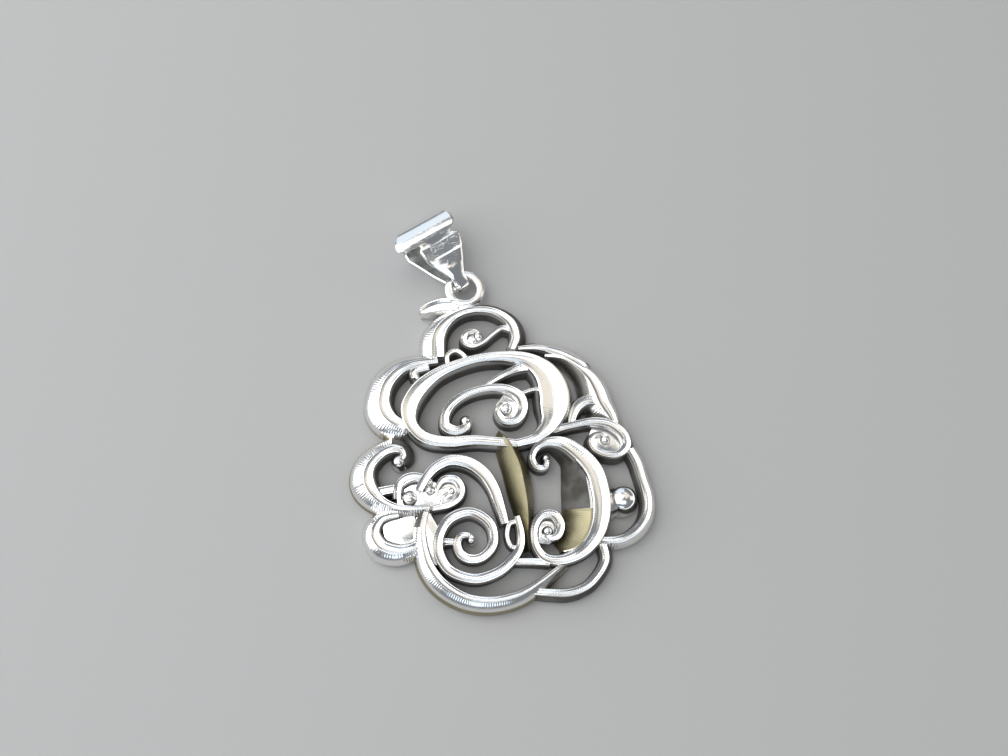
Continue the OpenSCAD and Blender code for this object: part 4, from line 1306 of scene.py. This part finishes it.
class Effects:
    """The effects that more than one finish uses, each a node group that is built once."""

    built: dict[str, bpy.types.NodeTree] = {}

    # Reach at which the painted shade on a wall starts, just past the crown's rim, and at which it is full.
    WALL_START = -1.02
    WALL_FULL = -1.32

    @classmethod
    def group(cls, name: str) -> bpy.types.NodeTree:
        """Fetch an effect's group, and build it the first time."""
        if name not in cls.built:
            cls.built[name] = getattr(cls, name)()
        return cls.built[name]

    @staticmethod
    def new_group(name: str, inputs: dict[str, float], outputs: Iterable[str]) -> bpy.types.NodeTree:
        """Start a node group with number sockets.

        Args:
            name: Name of the group.
            inputs: Name and usual value of each input.
            outputs: Name of each output.

        Returns:
            The group's tree.
        """
        tree = bpy.data.node_groups.new(name, "ShaderNodeTree")
        for label, usual in inputs.items():
            socket = tree.interface.new_socket(label, in_out="INPUT", socket_type="NodeSocketFloat")
            socket.default_value = usual
        for label in outputs:
            tree.interface.new_socket(label, in_out="OUTPUT", socket_type="NodeSocketFloat")
        return tree

    @staticmethod
    def millimetres(
        tree: bpy.types.NodeTree, stretch: tuple[float, float, float] = (1, 1, 1)
    ) -> bpy.types.NodeSocket:
        """Give a piece's own coordinates in millimetres, each axis stretched by a factor."""
        place = put(tree, "ShaderNodeTexCoord").outputs["Object"]
        scale = tuple(s / METRES_PER_MM for s in stretch)
        return put(tree, "ShaderNodeMapping", {"Vector": place, "Scale": scale}).outputs[0]

    @staticmethod
    def reach(tree: bpy.types.NodeTree) -> bpy.types.NodeSocket:
        """Give the reach across a ribbon's crown, positive on polished flanks and negative on other walls."""
        way = put(tree, "ShaderNodeUVMap", uv_map=WAY_MAP).outputs[0]
        return put(tree, "ShaderNodeSeparateXYZ", {0: way}).outputs["Y"]

    @staticmethod
    def painted_shade() -> bpy.types.NodeTree:
        """Painted shade and a painted reflection: dark walls of the openings, standing in for their shade and
        the dark reflections in them; darker patches low down, standing in for the shade in the recesses; and the
        olive middle, a painted warm reflection.
        """
        usual = {"Clear Above": 1.4, "Full Below": 0.2, "Patch Size": 1.5}
        tree = Effects.new_group("painted_shade", usual, ["Painted Low Shade", "Wall", "Tone"])
        given = put(tree, "NodeGroupInput").outputs
        place = Effects.millimetres(tree)
        height = put(tree, "ShaderNodeSeparateXYZ", {0: place}).outputs["Z"]
        patch = put(
            tree,
            "ShaderNodeTexNoise",
            {"Vector": place, "Scale": calc(tree, "DIVIDE", 1.0, given["Patch Size"]), "Detail": 4.0},
        ).outputs["Fac"]
        drift = calc(tree, "MULTIPLY_ADD", patch, 0.9, -0.45)
        low = calc(tree, "ADD", height, drift)
        # Painted shade low down: the lower a place is, the darker, with noise patches.
        shade_paint = ramp(tree, low, given["Full Below"], given["Clear Above"], 1.0, 0.0)
        reach = Effects.reach(tree)
        # Painted shade on the walls of the openings, where the map's reach is negative.
        wall = ramp(tree, reach, Effects.WALL_FULL, Effects.WALL_START, 1.0, 0.0)
        uneven = ramp(tree, patch, 0.3, 0.7, 1.0, 0.9)
        # Painted warm reflection, where the map raises the reach.
        tone = ramp(tree, reach, Scroll.TONE_MARK - 0.6, Scroll.TONE_MARK - 0.3)
        put(tree, "NodeGroupOutput", {"Painted Low Shade": shade_paint, "Wall": calc(tree, "MULTIPLY", wall, uneven), "Tone": tone})
        return tree

    @staticmethod
    def cutter_lines() -> bpy.types.NodeTree:
        """Fine lines that a cutter left across a ribbon, deep on polished flanks and faint elsewhere."""
        tree = Effects.new_group("cutter_lines", {"Pitch": 0.17, "Patch Size": 2.5}, ["Height"])
        given = put(tree, "NodeGroupInput").outputs
        way = put(tree, "ShaderNodeSeparateXYZ", {0: put(tree, "ShaderNodeUVMap", uv_map=WAY_MAP).outputs[0]})
        along = calc(tree, "DIVIDE", way.outputs["X"], given["Pitch"])
        tooth = calc(tree, "PINGPONG", along, 0.5)
        place = Effects.millimetres(tree)
        patch = put(
            tree,
            "ShaderNodeTexNoise",
            {"Vector": place, "Scale": calc(tree, "DIVIDE", 1.0, given["Patch Size"]), "Detail": 1.0},
        ).outputs["Fac"]
        strong = ramp(tree, patch, 0.35, 0.6, 0.3, 1.0)
        flank = ramp(tree, way.outputs["Y"], 0.9, 1.15, 0.22, 1.0)
        height = calc(tree, "MULTIPLY", tooth, calc(tree, "MULTIPLY", strong, flank))
        put(tree, "NodeGroupOutput", {"Height": height})
        return tree

    @staticmethod
    def handling() -> bpy.types.NodeTree:
        """Marks of wear: hairline scratches in two directions, and smudges that dull the polish."""
        tree = Effects.new_group("handling", {"Smudge Size": 2.0}, ["Scratches", "Smudge"])
        given = put(tree, "NodeGroupInput").outputs
        scratches = None
        for stretch in ((1.2, 22.0, 6.0), (18.0, 1.6, 6.0)):
            streaks = put(
                tree,
                "ShaderNodeTexNoise",
                {"Vector": Effects.millimetres(tree, stretch), "Scale": 1.0, "Detail": 3.0, "Distortion": 0.4},
            ).outputs["Fac"]
            fine = ramp(tree, streaks, 0.6, 0.74)
            scratches = fine if scratches is None else calc(tree, "ADD", scratches, fine)
        smudge = put(
            tree,
            "ShaderNodeTexNoise",
            {
                "Vector": Effects.millimetres(tree),
                "Scale": calc(tree, "DIVIDE", 1.0, given["Smudge Size"]),
                "Detail": 5.0,
                "Roughness": 0.6,
            },
        ).outputs["Fac"]
        put(tree, "NodeGroupOutput", {"Scratches": scratches, "Smudge": ramp(tree, smudge, 0.35, 0.7)})
        return tree

    @staticmethod
    def rim() -> bpy.types.NodeTree:
        """Mask of a ribbon's two rims, which hands and cloth keep bright, from the map across the crown."""
        tree = Effects.new_group("rim", {"Inner": 0.72, "Outer": 1.15}, ["Rim"])
        given = put(tree, "NodeGroupInput").outputs
        reach = calc(tree, "ABSOLUTE", Effects.reach(tree))
        inside = calc(tree, "GREATER_THAN", reach, given["Inner"])
        outside = calc(tree, "LESS_THAN", reach, given["Outer"])
        put(tree, "NodeGroupOutput", {"Rim": calc(tree, "MULTIPLY", inside, outside)})
        return tree


@dataclass(frozen=True)
class SilverFinish:
    """Polished silver with the marks of its making and wear, and with painted shade and a painted warm
    reflection in its colour.

    Args:
        name: Name of the material.
        metal: Colour of clean metal.
        shade_paint: Colour under full painted shade.
        tone: Colour of the painted warm reflection on the middle.
        shade_paint_share: How much of the painted shade colour shows on the low parts at most.
        wall_share: How much of it shows on the walls of the openings at most.
        clear_above: Height in millimetres above which there is no painted shade.
        full_below: Height in millimetres below which the painted shade is full.
        polish: Roughness of clean metal.
        dull: Roughness under the painted shade and smudges.
        lines: Depth of the cutter's lines in millimetres, or 0 for none.
        pitch: Distance from line to line.
        scratches: Depth of the scratches in millimetres.
    """

    name: str
    metal: tuple[float, float, float, float]
    shade_paint: tuple[float, float, float, float]
    tone: tuple[float, float, float, float]
    shade_paint_share: float
    wall_share: float
    clear_above: float
    full_below: float
    polish: float
    dull: float
    lines: float
    pitch: float
    scratches: float

    # Specular level where the painted shade lies, which is duller than a varnish.
    SHADE_PAINT_SHINE = 0.25

    def material(self) -> bpy.types.Material:
        """Build the material.

        Returns:
            The new material.
        """
        material = bpy.data.materials.new(self.name)
        material.use_nodes = True
        tree = material.node_tree
        tree.nodes.clear()
        painted_shade = self.use(tree, "painted_shade", {"Clear Above": self.clear_above, "Full Below": self.full_below})
        marks = self.use(tree, "handling", {})
        lines = self.use(tree, "cutter_lines", {"Pitch": self.pitch})
        rim = self.use(tree, "rim", {})["Rim"]
        # Painted shade: a dark colour low down and on the walls of the openings stands in for the shade in the
        # recesses and the dark reflections in the walls, and makes the metal rougher and less metallic there.
        low = calc(tree, "MULTIPLY", painted_shade["Painted Low Shade"], self.shade_paint_share)
        shade_paint = calc(tree, "MAXIMUM", low, calc(tree, "MULTIPLY", painted_shade["Wall"], self.wall_share))
        # Painted warm reflection: the olive colour on the marked flanks.
        painted_warm = self.mix(tree, painted_shade["Tone"], self.metal, self.tone)
        shade = self.mix(tree, shade_paint, painted_warm, self.shade_paint)
        shade_dulling = calc(tree, "MAXIMUM", shade_paint, calc(tree, "MULTIPLY", painted_shade["Tone"], 0.45))
        smudge_and_shade_dulling = calc(tree, "MULTIPLY_ADD", marks["Smudge"], 0.4, shade_dulling, clamp=True)
        bright = calc(tree, "MULTIPLY_ADD", rim, -0.5, smudge_and_shade_dulling, clamp=True)
        rough = ramp(tree, bright, 0.0, 1.0, self.polish, self.dull)
        height = calc(tree, "MULTIPLY", marks["Scratches"], -self.scratches * METRES_PER_MM)
        if self.lines:
            height = calc(tree, "MULTIPLY_ADD", lines["Height"], self.lines * METRES_PER_MM, height)
        normal = put(tree, "ShaderNodeBump", {"Height": height, "Strength": 1.0, "Distance": 1.0}).outputs[0]
        metallic_share = calc(tree, "MULTIPLY_ADD", shade_paint, -0.8, 1.0, clamp=True)
        shader = put(
            tree,
            "ShaderNodeBsdfPrincipled",
            {
                "Base Color": shade,
                "Metallic": metallic_share,
                "Roughness": rough,
                "Specular IOR Level": self.SHADE_PAINT_SHINE,
                "Normal": normal,
            },
        )
        put(tree, "ShaderNodeOutputMaterial", {"Surface": shader.outputs[0]})
        return material

    @staticmethod
    def mix(
        tree: bpy.types.NodeTree, share: bpy.types.NodeSocket, start: object, end: object
    ) -> bpy.types.NodeSocket:
        """Mix two colours.

        Args:
            tree: The node tree.
            share: Share of the second colour.
            start: The first colour, or the socket that gives it.
            end: The second colour.

        Returns:
            The socket that gives the mixture.
        """
        node = put(tree, "ShaderNodeMix", {"Factor": share}, data_type="RGBA")
        # This node has sockets of the same names for numbers and vectors, before those for colours.
        for name, colour in (("A", start), ("B", end)):
            socket = [s for s in node.inputs if s.name == name and s.type == "RGBA"][0]
            if isinstance(colour, bpy.types.NodeSocket):
                tree.links.new(colour, socket)
            else:
                socket.default_value = colour
        return [s for s in node.outputs if s.type == "RGBA"][0]

    @staticmethod
    def use(tree: bpy.types.NodeTree, effect: str, inputs: dict[str, object]) -> bpy.types.bpy_prop_collection:
        """Place one of the shared effects and return its outputs."""
        node = put(tree, "ShaderNodeGroup", node_tree=Effects.group(effect))
        for label, value in inputs.items():
            node.inputs[label].default_value = value
        return node.outputs


CAST_SILVER = SilverFinish(
    "cast_silver",
    metal=(0.93, 0.92, 0.90, 1),
    # Near-black painted shade, and the olive painted warm reflection.
    shade_paint=(0.05, 0.045, 0.036, 1),
    tone=(0.36, 0.32, 0.20, 1),
    shade_paint_share=0.35,
    wall_share=1.0,
    clear_above=0.9,
    full_below=0.0,
    polish=0.17,
    dull=0.5,
    lines=0.022,
    pitch=0.17,
    scratches=0.0012,
)
SHEET_SILVER = SilverFinish(
    "sheet_silver",
    metal=(0.94, 0.94, 0.93, 1),
    # Grey painted shade, and the olive painted warm reflection.
    shade_paint=(0.45, 0.44, 0.40, 1),
    tone=(0.36, 0.32, 0.20, 1),
    shade_paint_share=0.1,
    wall_share=0.0,
    clear_above=0.7,
    full_below=-0.4,
    polish=0.12,
    dull=0.3,
    lines=0.0,
    pitch=0.3,
    scratches=0.0015,
)


# Studio


class Lamp(NamedTuple):
    """A soft light: its place and what it is aimed at in metres, its two sides, its power and its colour."""

    name: str
    place: tuple[float, float, float]
    sides: tuple[float, float]
    power: float
    colour: tuple[float, float, float]


@dataclass
class Studio:
    """Pale floor, soft lights and the camera.

    Args:
        camera_at: Place of the camera in metres.
        camera_turn: Its turn about X, Y and Z, in degrees.
        lens: Focal length in millimetres for a sensor 36 mm wide.
        floor_size: Side of the floor in metres.
        sky: Colour of the room.
        sky_strength: Brightness of the room.
    """

    camera_at: tuple[float, float, float] = (-0.00513, -0.018054, 0.065968)
    camera_turn: tuple[float, float, float] = (17.552, -2.335, -13.0)
    lens: float = 31.607
    floor_size: float = 3.0
    sky: tuple[float, float, float, float] = (0.80, 0.85, 0.92, 1)
    sky_strength: float = 0.25
    lamps: tuple[Lamp, ...] = (
        Lamp("window", (-0.22, 0.05, 0.16), (0.35, 0.50), 1.15, (0.94, 0.97, 1.0)),
        Lamp("overhead", (-0.07, 0.12, 0.38), (0.22, 0.25), 0.35, (1.0, 0.99, 0.97)),
        Lamp("warm_ceiling", (0.19, 0.12, 0.36), (0.26, 0.25), 0.15, (1.0, 0.91, 0.76)),
        Lamp("front_overhead", (-0.03, -0.16, 0.36), (0.27, 0.17), 0.2, (0.92, 0.95, 1.0)),
        Lamp("far_fill", (0.0, 0.32, 0.20), (0.34, 0.28), 0.24, (0.80, 0.90, 1.0)),
        Lamp("right_fill", (0.36, -0.04, 0.14), (0.14, 0.30), 0.13, (1.0, 0.95, 0.88)),
        Lamp("front_fill", (-0.12, -0.34, 0.16), (0.20, 0.12), 0.12, (0.74, 0.86, 1.0)),
    )

    # How far the floor stays below the pendant's back, in metres.
    FLOOR_GAP = 1e-5

    def set_up(self) -> None:
        """Build the floor, the room, the lights and the camera, and let bright reflections burn out."""
        bpy.context.scene.view_settings.view_transform = "Standard"
        self.floor()
        self.room()
        for lamp in self.lamps:
            self.light(lamp)
        self.camera()

    def floor(self) -> None:
        """Lay the floor."""
        place = (0, 0, -self.FLOOR_GAP)
        floor = Bench.start("floor", bpy.ops.mesh.primitive_plane_add, size=self.floor_size, location=place)
        material = bpy.data.materials.new("pale_floor")
        material.use_nodes = True
        shader = material.node_tree.nodes["Principled BSDF"]
        shader.inputs["Base Color"].default_value = (0.42, 0.415, 0.405, 1)
        shader.inputs["Roughness"].default_value = 0.85
        floor.data.materials.append(material)

    def room(self) -> None:
        """Give the room its even light."""
        world = bpy.data.worlds.new("room")
        bpy.context.scene.world = world
        world.use_nodes = True
        background = world.node_tree.nodes["Background"]
        background.inputs["Color"].default_value = self.sky
        background.inputs["Strength"].default_value = self.sky_strength

    def light(self, lamp: Lamp) -> None:
        """Hang one soft light, aimed at the pendant."""
        data = bpy.data.lights.new(lamp.name, "AREA")
        data.shape = "RECTANGLE"
        data.size, data.size_y = lamp.sides
        data.energy = lamp.power
        data.color = lamp.colour
        light = bpy.data.objects.new(lamp.name, data)
        light.location = lamp.place
        light.rotation_euler = (-Vector(lamp.place)).to_track_quat("-Z", "Y").to_euler()
        bpy.context.scene.collection.objects.link(light)

    def camera(self) -> None:
        """Set the camera to the photograph's angle."""
        data = bpy.data.cameras.new("camera")
        data.lens = self.lens
        data.sensor_width = 36.0
        data.clip_start, data.clip_end = 0.005, 20.0
        camera = bpy.data.objects.new("camera", data)
        camera.location = self.camera_at
        camera.rotation_euler = tuple(math.radians(a) for a in self.camera_turn)
        bpy.context.scene.collection.objects.link(camera)
        bpy.context.scene.camera = camera


def dress(piece: bpy.types.Object, finish: SilverFinish, node: str) -> None:
    """Give a piece its finish and say which node it stands for.

    Args:
        piece: The finished piece.
        finish: Its finish.
        node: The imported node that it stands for.
    """
    piece.data.materials.clear()
    piece.data.materials.append(finish.material())
    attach(piece, "root")
    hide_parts(node)
    log.info("%s: %d faces, finish %s, stands for %s", piece.name, len(piece.data.polygons), finish.name, node)


def main() -> None:
    """Build the studio and the pendant."""
    logging.basicConfig(level=logging.INFO, format="%(message)s")
    Studio().set_up()
    dress(Casting().build(), CAST_SILVER, "scrollwork")
    dress(Bail().build(), SHEET_SILVER, "bail")


if __name__ == "__main__":
    main()
